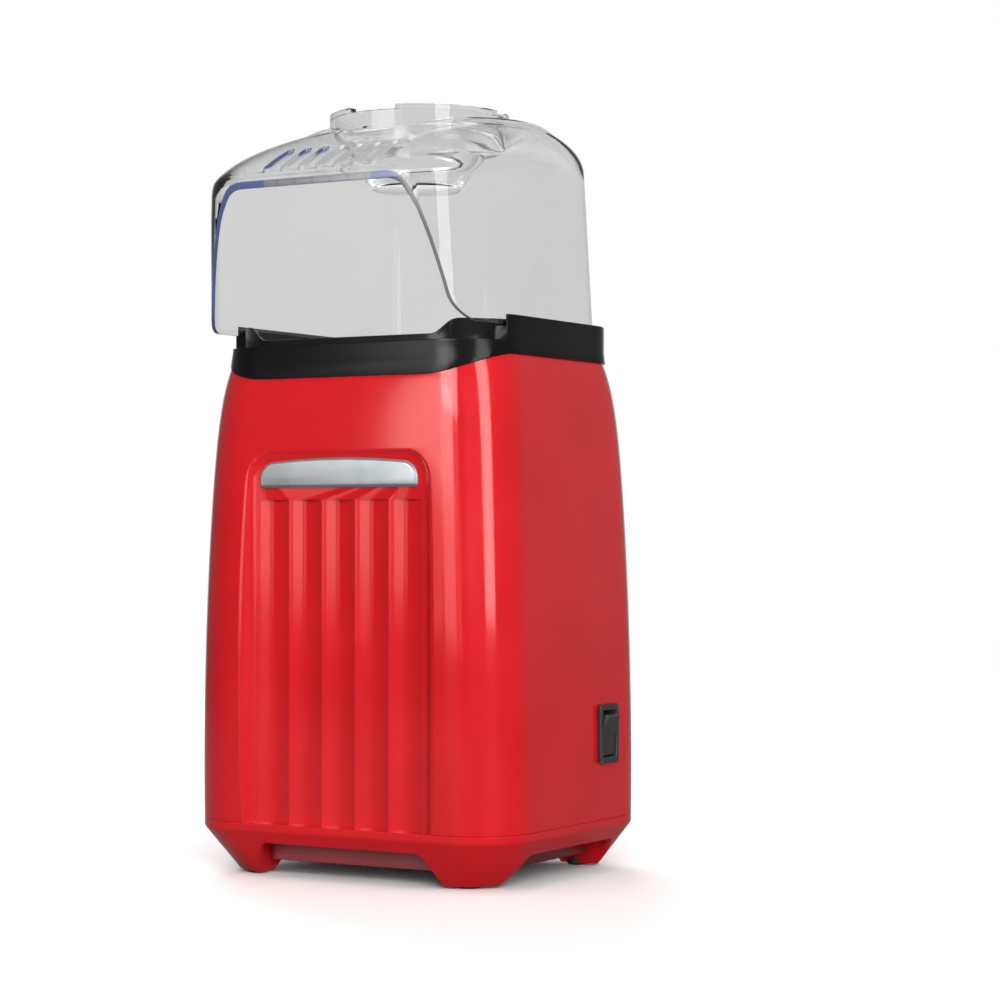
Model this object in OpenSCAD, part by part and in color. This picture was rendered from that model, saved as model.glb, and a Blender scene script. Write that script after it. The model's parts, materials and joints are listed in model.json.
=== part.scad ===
// Hot-air popcorn maker: fluted tower on a four-footed base, tray collar, clear hood and measuring cup.
// The tower's axis is the model's working axis; -Y is the front, +X is the right-hand side, +Z is up.

/* [Tower] */
// Width of the tower at its foot
tower_w = 145; // [136:1:156]
// Depth of the tower at its foot
tower_d = 120; // [114:1:130]
// Height of the seam between base and tower
seam_z = 21; // [19:1:26]
// Height of the tower's upper edge at its sides
tower_top = 200; // [190:1:215]
// Corner radius of the tower
corner_r = 23.5; // [18:0.5:26]
// Wall thickness of the tower and the base
wall = 2.5; // [2:0.1:3]
// Width lost by the time the tower reaches its top
taper_w = 12.8; // [6:0.2:15]
// Depth lost by the time the tower reaches its top
taper_d = 6.6; // [3:0.2:9]
// Bulge of the front and back faces
bulge_d = 10.2; // [4:0.2:12]
// Inset of the rounded shoulder on each side pair
shoulder = 5.9; // [4:0.1:8]

/* [Front panel] */
// Half width of the recessed panel at its floor
panel_half = 39.4; // [38:0.2:41]
// Height of the panel's upper edge
panel_top = 162.5; // [158:0.5:166]
// Distance from the tower axis to the panel's floor
panel_floor = 57.6; // [57:0.1:58.2]
// Number of flutes
flute_count = 5; // [3:1:7]
// Width of all flutes together
flutes_w = 75.5; // [66:0.5:77]
// Depth of a flute
flute_depth = 1.4; // [1:0.1:2.6]
// Flat land between two flutes
flute_land = 0.4; // [0.3:0.1:1]
// Height of the flutes' square tops
flute_top = 145.3; // [120:0.1:147]
// Width of the name plate
badge_w = 71.8; // [60:0.2:74]
// Height of the name plate's lower edge
badge_z = 150; // [149:0.1:151]
// Height of the name plate
badge_h = 11.2; // [8:0.1:11.4]

/* [Base] */
// Inward slope of the base skirt, from the seam to the floor
foot_inset = 10; // [6:0.5:12]
// Height of the arches between the feet
arch_h = 13.4; // [11:0.1:14]
// Half width of the front and rear arches at their top
arch_half = 36; // [30:0.5:38]
// Half length of the side arches at their top
side_arch_half = 32.5; // [26:0.5:34]
// Spread of each arch towards the floor
arch_spread = 7; // [4:0.5:8]
// Stand-out of the rubber pads below the feet
pad_proud = 0.8; // [0.6:0.1:1.4]

/* [Collar] */
// Drop of the collar's apron at the front
apron_drop = 8; // [6:0.5:9]
// Height of the raised rim above the tower's upper edge
rim_h = 14.6; // [13:0.1:17]
// Height of the front shelf above the tower's upper edge
shelf_h = 5; // [4:0.1:6]
// Height of the pouring lip above the tower's upper edge
lip_h = 7.3; // [6.5:0.1:8.5]
// Height of the tray wall above the tower's upper edge
tray_h = 13; // [12:0.1:14]
// Thickness of the tray wall
tray_wall = 1.8; // [1.5:0.1:2]

/* [Hood] */
// Half width of the hood at its lower edge
hood_half = 61.5; // [61:0.1:61.7]
// Distance from the tower axis to the hood's rear at its lower edge
hood_rear = 51.3; // [50.8:0.1:51.5]
// Distance from the tower axis to the hood's front at its lower edge
hood_front = 73.3; // [70:0.1:76]
// Wall thickness of the hood
hood_t = 2; // [1.6:0.1:2.4]
// Height of the hood's shoulder above its lower edge
hood_shoulder = 64.3; // [58:0.1:68]
// Height of the roof above the hood's lower edge
hood_h = 82.3; // [78:0.1:86]
// Lean of the mouth from the vertical, in degrees
mouth_lean = 13.2; // [9:0.2:17]
// Distance from the tower axis to the mouth at the hood's lower edge
mouth_reach = 63; // [61:0.2:66]
// Fillet at the lower corners of the mouth
mouth_fillet = 13; // [9:0.5:15]
// Outer radius of the neck
neck_r = 35.7; // [34:0.1:37]
// Height of the neck's upper edge above the hood's lower edge
neck_top = 85.5; // [84.5:0.1:88]
// Number of vent slots in the roof
slot_count = 7; // [5:1:7]
// Width of a vent slot
slot_w = 3.4; // [2.4:0.1:4]

/* [Measuring cup] */
// Depth of the cup below its rim
cup_depth = 29; // [25:0.5:31]
// Outer radius of the cup's floor
cup_floor_r = 18.8; // [15:0.1:21]
// Thickness of the cup's rim flange
cup_flange = 1.8; // [1.4:0.1:2.4]

/* [Air path] */
// Outer radius of the popping chamber
chamber_r = 40; // [38:0.1:40.4]
// Depth of the popping chamber
chamber_depth = 69; // [60:1:72]
// Number of louvres round the chamber
louvre_count = 24; // [12:1:28]
// Inner radius of the steel heater duct
duct_r = 44; // [43.6:0.1:45]
// Height of the joint between fan shroud and heater duct
duct_z = 92; // [88:1:98]
// Radius of the fan over its blade tips
fan_r = 40.2; // [37:0.1:40.3]
// Number of fan blades
blade_count = 7; // [5:1:9]
// Turns of the heater coil
coil_turns = 4; // [3:1:5]

/* [Motor] */
// Outer radius of the motor
motor_r = 13.85; // [12:0.05:14.5]
// Length of the motor's can
motor_h = 32; // [30:1:34]
// Radius of the motor shaft
shaft_r = 1.15; // [1:0.05:1.6]

/* [Switch] */
// Height of the switch's centre
switch_z = 54.5; // [48:0.5:70]
// Distance of the switch's centre behind the tower axis
switch_y = 22; // [14:0.5:26]

/* [Hidden] */
$fn = 64;

RED = [0.78, 0.10, 0.12];
BLACK = [0.06, 0.06, 0.065];
GREY = [0.55, 0.57, 0.59];
CLEAR = [0.86, 0.88, 0.90, 0.35];
STEEL = [0.66, 0.66, 0.67];
ALUMINIUM = [0.80, 0.81, 0.82];
MICA = [0.72, 0.62, 0.45];
RUBBER = [0.10, 0.10, 0.10];

fit = 0.3;          // free clearance between parts that are lifted off or slid together
seat = 0.05;        // clearance of a part that is held in its seat
run_gap = 0.04;     // radial clearance of a turning shaft
over = 1;           // overshoot of a cut past the surface it opens
film = 0.01;        // thickness of a slice that only gives a hull its outline
far = 200;          // longer than any cut needs to be

// ---- tower form ----
arc_steps = 12;     // facets in a quarter corner of an outer skin
inner_steps = 8;    // facets in a quarter corner of an inner skin
tower_h = tower_top - seam_z;
function rise(z) = min(1, max(0, (z - seam_z) / tower_h));
function shoulder_at(t) = shoulder * pow(t, 14);
function tower_w_at(z) = let (t = rise(z)) tower_w - taper_w * t * t - shoulder_at(t);
function tower_d_at(z) = let (t = rise(z))
    tower_d + bulge_d * t - (bulge_d + taper_d) * t * t - shoulder_at(t);
tower_top_w = tower_w_at(tower_top);
tower_top_d = tower_d_at(tower_top);

// ---- front panel ----
panel_r = 9;                    // radius of the panel's upper corners at its floor
recess_rise = 3.2;
recess_flare = 4;
recess_flare_top = 3.6;
badge_r = 7;                    // radius of the plate's upper corners
badge_low_r = 1.2;
badge_crown = 1.3;              // rise of the plate's upper edge towards its middle
badge_sink = 1;
badge_edge = 0.7;               // height of the plate's side above the panel's floor
badge_proud = 1.5;
badge_bevel = 0.9;

// ---- collar ----
collar_grow = 0.5;
rim_z = tower_top + rim_h;
shelf_z = tower_top + shelf_h;
lip_z = tower_top + lip_h;
tray_z = tower_top + tray_h;
groove_z = tray_z - 2.6;
floor_t = 2;
floor_z = tower_top + 1;
tray_fit = 0.5;                 // clearance between the tray wall and the hood's leaning inside
hood_z = groove_z + fit;
hood_corner = 27;
tray_half = hood_half - hood_t - tray_fit;
tray_rear = hood_rear - hood_t - tray_fit;
tray_front = tower_top_d / 2 - 1;
tray_corner = hood_corner - hood_t - tray_fit;
rim_start = 37.6;               // the raised rim begins this far in front of the axis
apron_flat = 36;                // half width of the level part of the apron's lower edge
lip_flat = 38;                  // half width of the level part of the pouring lip
lip_end = 47.5;                 // half width at which the lip meets the full tray wall
spigot_half = tower_top_w / 2 - wall - fit;
spigot_depth_half = tower_top_d / 2 - wall - fit;
spigot_t = 2;
spigot_drop = 10;
collar_post = [spigot_half - spigot_t - 8, spigot_depth_half - spigot_t - 11];
collar_post_r = 3.6;
post_hole = 15;                 // depth of a post's screw hole
lug_drop = 21;
lug_z = tower_top - lug_drop;
lug_t = 3;
lug_reach = 6;                  // how far a lug reaches inwards past its screw

// ---- hood ----
neck_t = 2;
neck_z = hood_z + neck_top;
side_flare = 2.6;               // the walls lean in by this much up to the shoulder
front_flare = 4.4;              // the front leans out by this much up to the shoulder
shoulder_inset = 21;
shoulder_rise = hood_h - hood_shoulder + 2;
slope_z = 57.3;                 // the front roof's slope starts at this height above the lower edge
slope_blend = 3;
function hood_lean(h) = min(1, h / hood_shoulder);
function side_inset(h) = h <= hood_shoulder ? 0
    : shoulder_inset * (1 - sqrt(1 - pow((h - hood_shoulder) / shoulder_rise, 2)));
function front_inset(h) = let (s = h - slope_z)
    0.85 * (s + sqrt(s * s + slope_blend * slope_blend)) + 0.018 * pow(max(0, s), 2);
function hood_half_at(h) = hood_half - side_flare * hood_lean(h) - side_inset(h);
function hood_rear_at(h) = hood_rear - side_flare * hood_lean(h) - side_inset(h);
function hood_front_at(h) = hood_front + front_flare * hood_lean(h) - front_inset(h);
function hood_corner_at(h) = min(hood_corner + 1.2 * side_inset(h), hood_half_at(h) - 2,
                                 (hood_front_at(h) + hood_rear_at(h)) / 2 - 2);
function mouth_at(h) = mouth_reach + h * tan(mouth_lean);

// The hood's foremost point is where the mouth's plane meets the roof's slope.
function meet(lo, hi, n) = let (mid = (lo + hi) / 2)
    n == 0 ? lo
    : hood_front_at(mid) > mouth_at(mid) ? meet(mid, hi, n - 1)
    : meet(lo, mid, n - 1);
mouth_top_h = meet(slope_z - 20, hood_h, 24);
front_reach = mouth_at(mouth_top_h);

// ---- measuring cup ----
cup_t = 1.5;
cup_r = neck_r - neck_t - fit;
cup_rim_z = neck_z + cup_flange;
cup_z = cup_rim_z - cup_depth;
cup_wide_h = 10;                // height of the cup's wide upper part
cup_neck_r = cup_floor_r + 6;   // radius where the tapered part meets the wide part
cup_chamfer = 2.5;              // height of the chamfers at the floor and under the wide part
cup_step = 3;
front_notch = 34;               // angle of the front and rear notches in the rim
side_notch = 15;
side_notch_at = 98;

// ---- popping chamber and duct ----
chamber_t = 0.8;
gasket_t = 1;
gasket_r = 46;
flange_z = floor_z + gasket_t;
chamber_z = flange_z + chamber_t - chamber_depth;
chamber_hole = chamber_r + 1.6;
duct_t = 0.8;
duct_top = floor_z - floor_t;
flange_r = duct_r + duct_t + 5;
chamber_foot = 6;               // radius of the chamber's rounded foot
chamber_dome = 4;               // rise of the chamber's floor towards its middle
louvre_z = chamber_z + 7;
louvre_h = 12;
louvre_turn = 20;

// ---- base ----
foot_z = pad_proud;
deck_t = 2.5;
deck_half = [45.5, 36.5];
rim_front = panel_floor - flute_depth - wall - fit;
rim_up = 4;                     // stand-up of the skirt's locating rim above the seam
rim_t = 2;
foot_screw = [48.5, 42];
leg = [40, 28.6];
leg_r = 4.5;
leg_hole = 14;                  // depth of the screw holes in a leg's ends
ear_r = 6;
pan_z = 6;
pan_t = 2.5;
pan_floor = pan_z + pan_t;
pan_long = arch_half + arch_spread - 3 - fit;
pan_wide = 57.5;
pan_setback = 6;                // the pan stands this far behind the skirt's outer face at its foot
intake_slots = 6;               // air slots on each side of the middle one
intake_pitch = 5;
intake_slot_w = 2.6;
intake_half = 20;
pad_r = 4.2;
screw_r = 1.5;
screw_head_r = 3.4;
screw_head_t = 2.4;
boss_r = 4;
boss_h = 24;
rib_t = 2;
rib_root = 0.8;                 // how far a rib reaches into the wall behind it
foot_counterbore = 12;

// ---- fan and motor ----
shroud_r = fan_r + 0.8;
shroud_t = 2.2;
shroud_z = duct_z - 30;
flange_t = 2;
fan_z = shroud_z + 5;
fan_h = 15;
hub_r = 12;
hub_chamfer = 2;
hub_wall = 0.5;                 // wall left between the hub's hollow and the blades' roots
hub_lid = 3;
blade_root = hub_r - 2.5;
blade_pitch = 52;               // angle of a blade at the hub
blade_twist = 22;               // how much flatter it is at the tip
blade_span = 0.88;              // part of the fan's height that a blade takes
blade_camber = 0.28;
blade_t = 1.2;
clip_r = 3.2;
clip_t = 1;
motor_top = shroud_z - 2;
motor_z = motor_top - motor_h;
can_t = 0.8;
cap_h = 4;
cap_lip = 1;                    // how far the end cap reaches into the can
tab_at = 8;                     // distance of the motor's two solder tabs from its axis
tab_w = 2.8;
tab_t = 0.6;
board_t = 1.6;
bush_r = 3;
bush_h = 4;
magnet_r = motor_r - can_t - seat;
magnet_t = 2;
magnet_arc = 140;
magnet_end = 6;                 // distance from a magnet's ends to the can's ends
armature_r = magnet_r - magnet_t - 0.6;
socket_h = 18;
socket_t = 2.2;
spoke_h = 7;
spoke_t = 2.4;
board_z = motor_z - cap_h - 6;
shaft_end = fan_z + fan_h + 3;

// ---- heater ----
mica_t = 0.8;
mica_z = duct_z + 3;
heater_gap = 5.8;               // free height between the heater's frame and the chamber
mica_h = chamber_z - heater_gap - mica_z;
coil_r = 33;
coil_wire = 1.3;
coil_z = mica_z + 4;
coil_pitch = (mica_h - 5) / coil_turns;

// ---- switch and gland ----
bezel_t = 1.6;
bezel_half = [7.5, 11.5];       // half width and half height of the switch's frame
switch_half = [6.4, 9.8];
switch_deep = 17;
rocker_half = [5, 8.1];
rocker_tilt = 9;
rocker_open = [5.3, 9.1];
rocker_well = 4.5;              // depth of the opening behind the rocker's pins
pin_r = 1.2;
pin_l = 12;
switch_face = tower_w_at(switch_z - bezel_half[1]) / 2;
rocker_x = switch_face - 2.2;
gland_z = 34;
gland_r = 7;
gland_hole = 5.2;
gland_bore = 3.4;
gland_proud = 2.4;
gland_taper = 1.2;
gland_lip = 1.4;                // how far the inner lip grips past the hole
gland_lip_t = 3;
gland_back = wall + gland_lip_t + 0.6;
gland_face = tower_d_at(gland_z + gland_r) / 2;

// ---- the part's own frame: origin under the middle of its outer box ----
left_reach = tower_w / 2;
right_reach = switch_face + bezel_t + 0.9;
rear_reach = gland_face + gland_proud;
frame_x = (left_reach - right_reach) / 2;
frame_y = (front_reach - rear_reach) / 2;

// ================= helpers =================

// Puts a sub-part in the part's own frame and gives it its colour.
module placed(tint) {
    color(tint) translate([frame_x, frame_y, 0]) children();
}

// One ring of a rounded rectangle at height z, with its own front, rear and half width.
function ring(z, half, front, rear, r, steps) = [
    for (corner = [0 : 3], i = [0 : steps])
        let (a = 180 + 90 * (corner + i / steps),
             cx = corner == 0 || corner == 3 ? r - half : half - r,
             cy = corner < 2 ? r - front : rear - r)
            [cx + r * cos(a), cy + r * sin(a), z]
];

// Skin through a stack of rings with equal numbers of points.
module loft(rings) {
    n = len(rings[0]);
    last = len(rings) - 1;
    points = [for (r = rings, p = r) p];
    sides = [
        for (k = [0 : last - 1], i = [0 : n - 1])
            let (a = k * n + i, b = k * n + (i + 1) % n)
                each [[a, a + n, b + n], [a, b + n, b]]
    ];
    bottom = [for (i = [0 : n - 1]) i];
    top = [for (i = [n - 1 : -1 : 0]) last * n + i];
    polyhedron(points, concat(sides, [bottom, top]));
}

// Heights from z0 to z1, drawn closer together towards z1.
function levels(z0, z1, n) = [for (i = [0 : n]) z0 + (z1 - z0) * (1 - pow(1 - i / n, 1.6))];

// The tower's bowed form between two heights, grown or shrunk by an offset.
module tower_form(grow, z0, z1, count = 11, steps = arc_steps) {
    loft([for (z = levels(z0, z1, count))
        ring(z, tower_w_at(z) / 2 + grow, tower_d_at(z) / 2 + grow, tower_d_at(z) / 2 + grow,
             corner_r + grow, steps)]);
}

// The hood's form from a height above its lower edge up to its roof, shrunk by t.
module hood_form(t, h0, steps) {
    loft([for (h = concat([h0, hood_shoulder * 0.5], levels(slope_z - 4, hood_h, 11)))
        ring(hood_z + h - t, hood_half_at(h) - t, hood_front_at(h) - t, hood_rear_at(h) - t,
             hood_corner_at(h) - t, steps)]);
}

// Flat rounded rectangle with true round corners, centred in X, from -front to rear in Y.
module plate(half, front, rear, r) {
    translate([r - half, -front]) square([2 * (half - r), front + rear]);
    translate([-half, r - front]) square([2 * half, front + rear - 2 * r]);
    for (x = [r - half, half - r], y = [r - front, rear - r])
        translate([x, y]) circle(r);
}

// Copies of a shape at the four corners (+-x, +-y), mirrored so that each faces its own corner.
module at_corners(at) {
    for (sx = [-1, 1], sy = [-1, 1])
        translate([sx * at[0], sy * at[1], 0])
            mirror([sx < 0 ? 1 : 0, 0, 0]) mirror([0, sy < 0 ? 1 : 0, 0]) children();
}

module ring_wall(outer, inner, z0, z1) {
    translate([0, 0, z0]) difference() {
        cylinder(r = outer, h = z1 - z0);
        translate([0, 0, -over]) cylinder(r = inner, h = z1 - z0 + 2 * over);
    }
}

// Self-tapping screw, driven upwards, whose head's upper face is at z = 0.
module screw(length) {
    cross = [1, 4.4];
    deep = 1;
    tip = 2;
    root = 0.1;
    difference() {
        translate([0, 0, -screw_head_t]) cylinder(r = screw_head_r, h = screw_head_t);
        translate([0, 0, -screw_head_t - over]) linear_extrude(deep + over) {
            square(cross, center = true);
            square([cross[1], cross[0]], center = true);
        }
    }
    translate([0, 0, -root]) cylinder(r = screw_r, h = length - tip + root);
    translate([0, 0, length - tip]) cylinder(r1 = screw_r, r2 = screw_r / 4, h = tip);
}

// ================= tower =================

// Lower edge of the collar's apron: level at the front, rising round the corners past the tower's edge.
apron_end = tower_top_w / 2 + 0.4;
function apron_edge(x) = let (u = max(0, abs(x) - apron_flat) / (apron_end - apron_flat))
    tower_top + fit - (apron_drop + fit) * (1 - u * u);

// Everything above the apron's edge, in front of the axis.
module above_apron() {
    edge = [for (i = [-16 : 16]) let (x = apron_end * i / 16) [x, apron_edge(x)]];
    rotate([90, 0, 0]) linear_extrude(far)
        polygon(concat(edge, [[apron_end, 2 * far], [-apron_end, 2 * far]]));
}

// Runs a flat XZ outline along Y, between two distances in front of the axis.
module facing(near, away) {
    translate([0, -near, 0]) rotate([90, 0, 0]) linear_extrude(away - near) children();
}

// Panel outline from below the seam up to its rounded top.
module panel_outline(half, top, r) {
    translate([-half, 0]) square([2 * half, top - r]);
    translate([r - half, 0]) square([2 * (half - r), top]);
    for (x = [r - half, half - r])
        translate([x, top - r]) circle(r, $fn = 32);
}

// The recess widens by recess_flare from its floor to the height of recess_rise above it.
module panel_recess() {
    hull() {
        facing(panel_floor, panel_floor + film) panel_outline(panel_half, panel_top, panel_r);
        facing(panel_floor + recess_rise, panel_floor + recess_rise + shoulder + over)
            panel_outline(panel_half + recess_flare, panel_top + recess_flare_top, panel_r + recess_flare_top);
    }
}

flute_w = flutes_w / flute_count;
// Half the width of one flute where it meets the panel's floor, with a narrow flat land to the next.
flute_half = (flute_w - flute_land) / 2;
flute_r = (flute_half * flute_half + flute_depth * flute_depth) / (2 * flute_depth);

// One upright cylinder for each flute, thickened for the wall behind it.
module flute_cuts(extra, z0, z1) {
    for (i = [0 : flute_count - 1])
        translate([(i - (flute_count - 1) / 2) * flute_w, flute_depth - flute_r - panel_floor, z0])
            cylinder(r = flute_r + extra, h = z1 - z0);
}

module badge_outline(grow) {
    r_top = badge_r + grow;
    r_low = badge_low_r + grow;
    w = badge_w / 2 + grow;
    low = badge_z - grow;
    high = badge_z + badge_h + grow;
    crown = badge_crown;
    intersection() {
        hull() {
            for (s = [-1, 1]) {
                translate([s * (w - r_low), low + r_low]) circle(r_low, $fn = 24);
                translate([s * (w - r_top), high - crown - r_top]) circle(r_top, $fn = 32);
            }
            for (i = [-4 : 4])
                translate([i / 4 * (w - r_top), high - crown * i * i / 16 - 1]) circle(1, $fn = 24);
        }
        translate([-w, low]) square([2 * w, high]);
    }
}

module badge() {
    placed(GREY) hull() {
        facing(panel_floor - badge_sink, panel_floor + badge_edge) badge_outline(0);
        facing(panel_floor - badge_sink, panel_floor + badge_proud) badge_outline(-badge_bevel);
    }
}

// Boss near a corner with a rib out to the front or rear wall.
module corner_boss(at, h) {
    difference() {
        union() {
            cylinder(r = boss_r, h = h);
            translate([-rib_t / 2, 0, rim_up + fit])
                cube([rib_t, tower_d / 2 - wall + rib_root - at[1], h / 2]);
        }
        translate([0, 0, -over]) cylinder(r = screw_r + seat, h = h - 2);
    }
}

// Corner lugs that the collar's screws pass through.
module collar_lugs() {
    difference() {
        tower_form(-wall / 2, lug_z, lug_z + lug_t, 1, inner_steps);
        translate([0, 0, lug_z - over]) linear_extrude(lug_t + 2 * over) {
            square([2 * (collar_post[0] - lug_reach), far], center = true);
            square([far, 2 * (collar_post[1] - lug_reach)], center = true);
            circle(duct_r + duct_t + lug_t);
        }
        at_corners(collar_post) translate([0, 0, lug_z - over])
            cylinder(r = screw_r + fit, h = lug_t + 2 * over);
    }
}

module switch_hole() {
    translate([switch_face - wall - 3, switch_y - switch_half[0] - seat, switch_z - switch_half[1] - seat])
        cube([wall + 6, 2 * (switch_half[0] + seat), 2 * (switch_half[1] + seat)]);
}

module gland_cut(r) {
    translate([0, gland_face - wall - 4, gland_z]) rotate([-90, 0, 0]) cylinder(r = r, h = wall + 8);
}

module housing() {
    placed(RED) {
        difference() {
            tower_form(0, seam_z, tower_top);
            difference() {
                tower_form(-wall, seam_z - over, tower_top + over, 9, inner_steps);
                // The wall follows the panel and its flutes on the inside.
                facing(panel_floor - wall, panel_floor + far / 2)
                    panel_outline(panel_half + recess_flare, panel_top + wall, panel_r + wall);
                flute_cuts(wall, seam_z - 2 * over, flute_top + wall);
            }
            panel_recess();
            flute_cuts(0, seam_z - over, flute_top);
            facing(panel_floor - badge_sink, panel_floor + over) offset(r = fit) badge_outline(0);
            above_apron();
            switch_hole();
            gland_cut(gland_hole + seat);
        }
        at_corners(foot_screw) translate([0, 0, seam_z]) corner_boss(foot_screw, boss_h);
        collar_lugs();
    }
}

// ================= base =================

// The skirt's sloping form, shrunk by t; it is as wide as the tower just below the seam.
module skirt_form(t, z0, z1, steps) {
    land = 3;
    function inset(z) = z > seam_z - land ? 0 : foot_inset * (seam_z - land - z) / (seam_z - land - foot_z);
    function skirt_ring(z) = ring(z, tower_w / 2 - inset(z) - t, tower_d / 2 - inset(z) - t,
                                  tower_d / 2 - inset(z) - t, corner_r - t, steps);
    loft([for (z = [z0, seam_z - land, z1]) skirt_ring(z)]);
}

// Arch outline, wider at the floor, with rounded upper corners.
module arch(half, h) {
    r = 2.5;
    below = 0.6;                // part of its height that the outline runs on below the floor
    foot = half + arch_spread * (1 + below);
    offset(r = r, $fn = 24) offset(delta = -r)
        polygon([[-half, h], [half, h], [foot, -h * below], [-foot, -h * below]]);
}

module arches() {
    translate([0, far / 2, 0]) facing(0, far) arch(arch_half, arch_h);
    rotate(90) translate([0, far / 2, 0]) facing(0, far) arch(side_arch_half, arch_h - 0.9);
}

// Outline of the rim that stands inside the tower's wall, shrunk by t.
module rim_outline(t) {
    inside = wall + fit + t;
    plate(tower_w / 2 - inside, rim_front - t, tower_d / 2 - inside, corner_r - inside);
}

module base_skirt() {
    placed(RED) difference() {
        union() {
            difference() {
                skirt_form(0, foot_z, seam_z, arc_steps);
                skirt_form(wall, foot_z - over, seam_z + over, inner_steps);
            }
            // Deck that carries the tower, and the solid inner side of each foot.
            difference() {
                skirt_form(wall / 2, foot_z, seam_z, inner_steps);
                translate([0, 0, foot_z - over]) linear_extrude(seam_z - deck_t - foot_z + over) {
                    square([2 * (arch_half + arch_spread - 3), far], center = true);
                    square([far, 2 * (side_arch_half + arch_spread - 3)], center = true);
                }
                translate([0, 0, seam_z - deck_t - over]) linear_extrude(deck_t + 2 * over)
                    plate(deck_half[0], deck_half[1], deck_half[1], 6);
            }
            // Rim that locates the tower from inside.
            translate([0, 0, seam_z - deck_t / 2]) linear_extrude(deck_t / 2 + rim_up) difference() {
                rim_outline(0);
                rim_outline(rim_t);
            }
        }
        arches();
        at_corners(foot_screw) {
            translate([0, 0, -over]) cylinder(r = screw_r + fit, h = far);
            translate([0, 0, -over]) cylinder(r = pad_r + seat, h = foot_counterbore + over);
            translate([0, 0, seam_z]) cylinder(r = boss_r + fit, h = rim_up + over);
        }
    }
}

module foot_pads() {
    placed(RUBBER) at_corners(foot_screw) {
        cylinder(r1 = pad_r - 0.6, r2 = pad_r, h = 0.6);
        translate([0, 0, 0.5]) cylinder(r = pad_r, h = 4);
    }
}

// Pan between the feet that draws air in through its slots.
module bottom_plate() {
    front = tower_d / 2 - foot_inset - pan_setback + 4;
    module pan_outline(shrink) {
        plate(pan_long - shrink, front - shrink, front - shrink, 4 - shrink / 2);
        plate(pan_wide - shrink, side_arch_half + 3 - shrink, side_arch_half + 3 - shrink, 4 - shrink / 2);
    }
    placed([0.45, 0.07, 0.08]) difference() {
        translate([0, 0, pan_z]) linear_extrude(seam_z - deck_t - pan_z) pan_outline(0);
        translate([0, 0, pan_floor]) linear_extrude(far) pan_outline(2);
        for (i = [-intake_slots : intake_slots])
            translate([i * intake_pitch - intake_slot_w / 2, -intake_half, 0])
                cube([intake_slot_w, 2 * intake_half, pan_floor + over]);
        at_corners(leg) translate([0, 0, pan_z - over])
            cylinder(r = screw_r + fit, h = pan_t + 2 * over);
    }
}

// ================= collar =================

// Height of the tray wall's edge across the front: a level lip with an S-curve up at each side.
function lip_edge(x) = let (u = min(1, max(0, (abs(x) - lip_flat) / (lip_end - lip_flat))))
    lip_z + (tray_z - lip_z) * (1 - cos(180 * u)) / 2;

module above_lip() {
    edge = [for (i = [-24 : 24]) let (x = lip_end * i / 24) [x, lip_edge(x)]];
    facing(rim_start - 6, far / 2)
        polygon(concat([[-lip_end, tray_z + over]], edge, [[lip_end, tray_z + over]]));
}

// Space outside the tray wall, between two heights.
module outside_tray(z0, z1) {
    translate([0, 0, z0]) linear_extrude(z1 - z0) difference() {
        square(far, center = true);
        plate(tray_half, tray_front, tray_rear, tray_corner);
    }
}

module collar() {
    placed(BLACK) difference() {
        union() {
            // Outer band: it follows the tower down to the apron's edge.
            intersection() {
                tower_form(collar_grow, tower_top - apron_drop - over, rim_z, 5);
                union() {
                    above_apron();
                    translate([-far / 2, -far / 2, tower_top]) cube([far, far, far]);
                }
            }
            translate([0, 0, tower_top - spigot_drop]) linear_extrude(spigot_drop + over)
                plate(spigot_half, spigot_depth_half, spigot_depth_half, corner_r - wall - fit);
        }
        // Tray inside, chamber opening and the hollow underneath.
        translate([0, 0, floor_z]) linear_extrude(far)
            plate(tray_half - tray_wall, tray_front - tray_wall, tray_rear - tray_wall,
                  tray_corner - tray_wall);
        translate([0, 0, tower_top - apron_drop - spigot_drop])
            linear_extrude(apron_drop + spigot_drop + floor_z - tower_top - floor_t)
            plate(spigot_half - spigot_t, spigot_depth_half - spigot_t, spigot_depth_half - spigot_t,
                  corner_r - wall - fit - spigot_t);
        translate([0, 0, tower_top - over - floor_t]) cylinder(r = chamber_hole, h = far);
        // Groove for the hood's lower edge, and the open shelf in front of the raised rim.
        intersection() {
            outside_tray(groove_z, rim_z + over);
            translate([0, 0, groove_z - over]) linear_extrude(far)
                plate(hood_half + fit, hood_front + fit, hood_rear + fit, hood_corner + fit);
        }
        intersection() {
            outside_tray(shelf_z, rim_z + over);
            translate([-far / 2, -far, 0]) cube([far, far - rim_start, far * 2]);
        }
        above_lip();
        translate([0, 0, tray_z]) linear_extrude(far)
            plate(hood_half, hood_front, hood_rear, hood_corner);
    }
    placed(BLACK) {
        collar_posts();
        tray_ramp();
    }
}

// Posts under the tray that take the collar's screws.
module collar_posts() {
    at_corners(collar_post) translate([0, 0, lug_z + lug_t + seat]) difference() {
        cylinder(r = collar_post_r, h = duct_top - lug_z - lug_t + 0.5);
        translate([0, 0, -over]) cylinder(r = screw_r + seat, h = post_hole);
    }
}

// Ramp from the tray's floor up to the pouring lip.
module tray_ramp() {
    front = tray_front - tray_wall;
    start = gasket_r + 2 * fit;
    low = floor_z - over / 2;
    intersection() {
        rotate([90, 0, 90]) linear_extrude(2 * lip_flat, center = true)
            polygon([[-start, low], [-start, floor_z + fit],
                     [-front - over, lip_z - 1], [-front - over, low]]);
        translate([0, 0, floor_z - over]) linear_extrude(far)
            plate(tray_half - tray_wall + fit, front + fit, tray_rear, tray_corner - tray_wall);
    }
}

// ================= hood and cup =================

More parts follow.
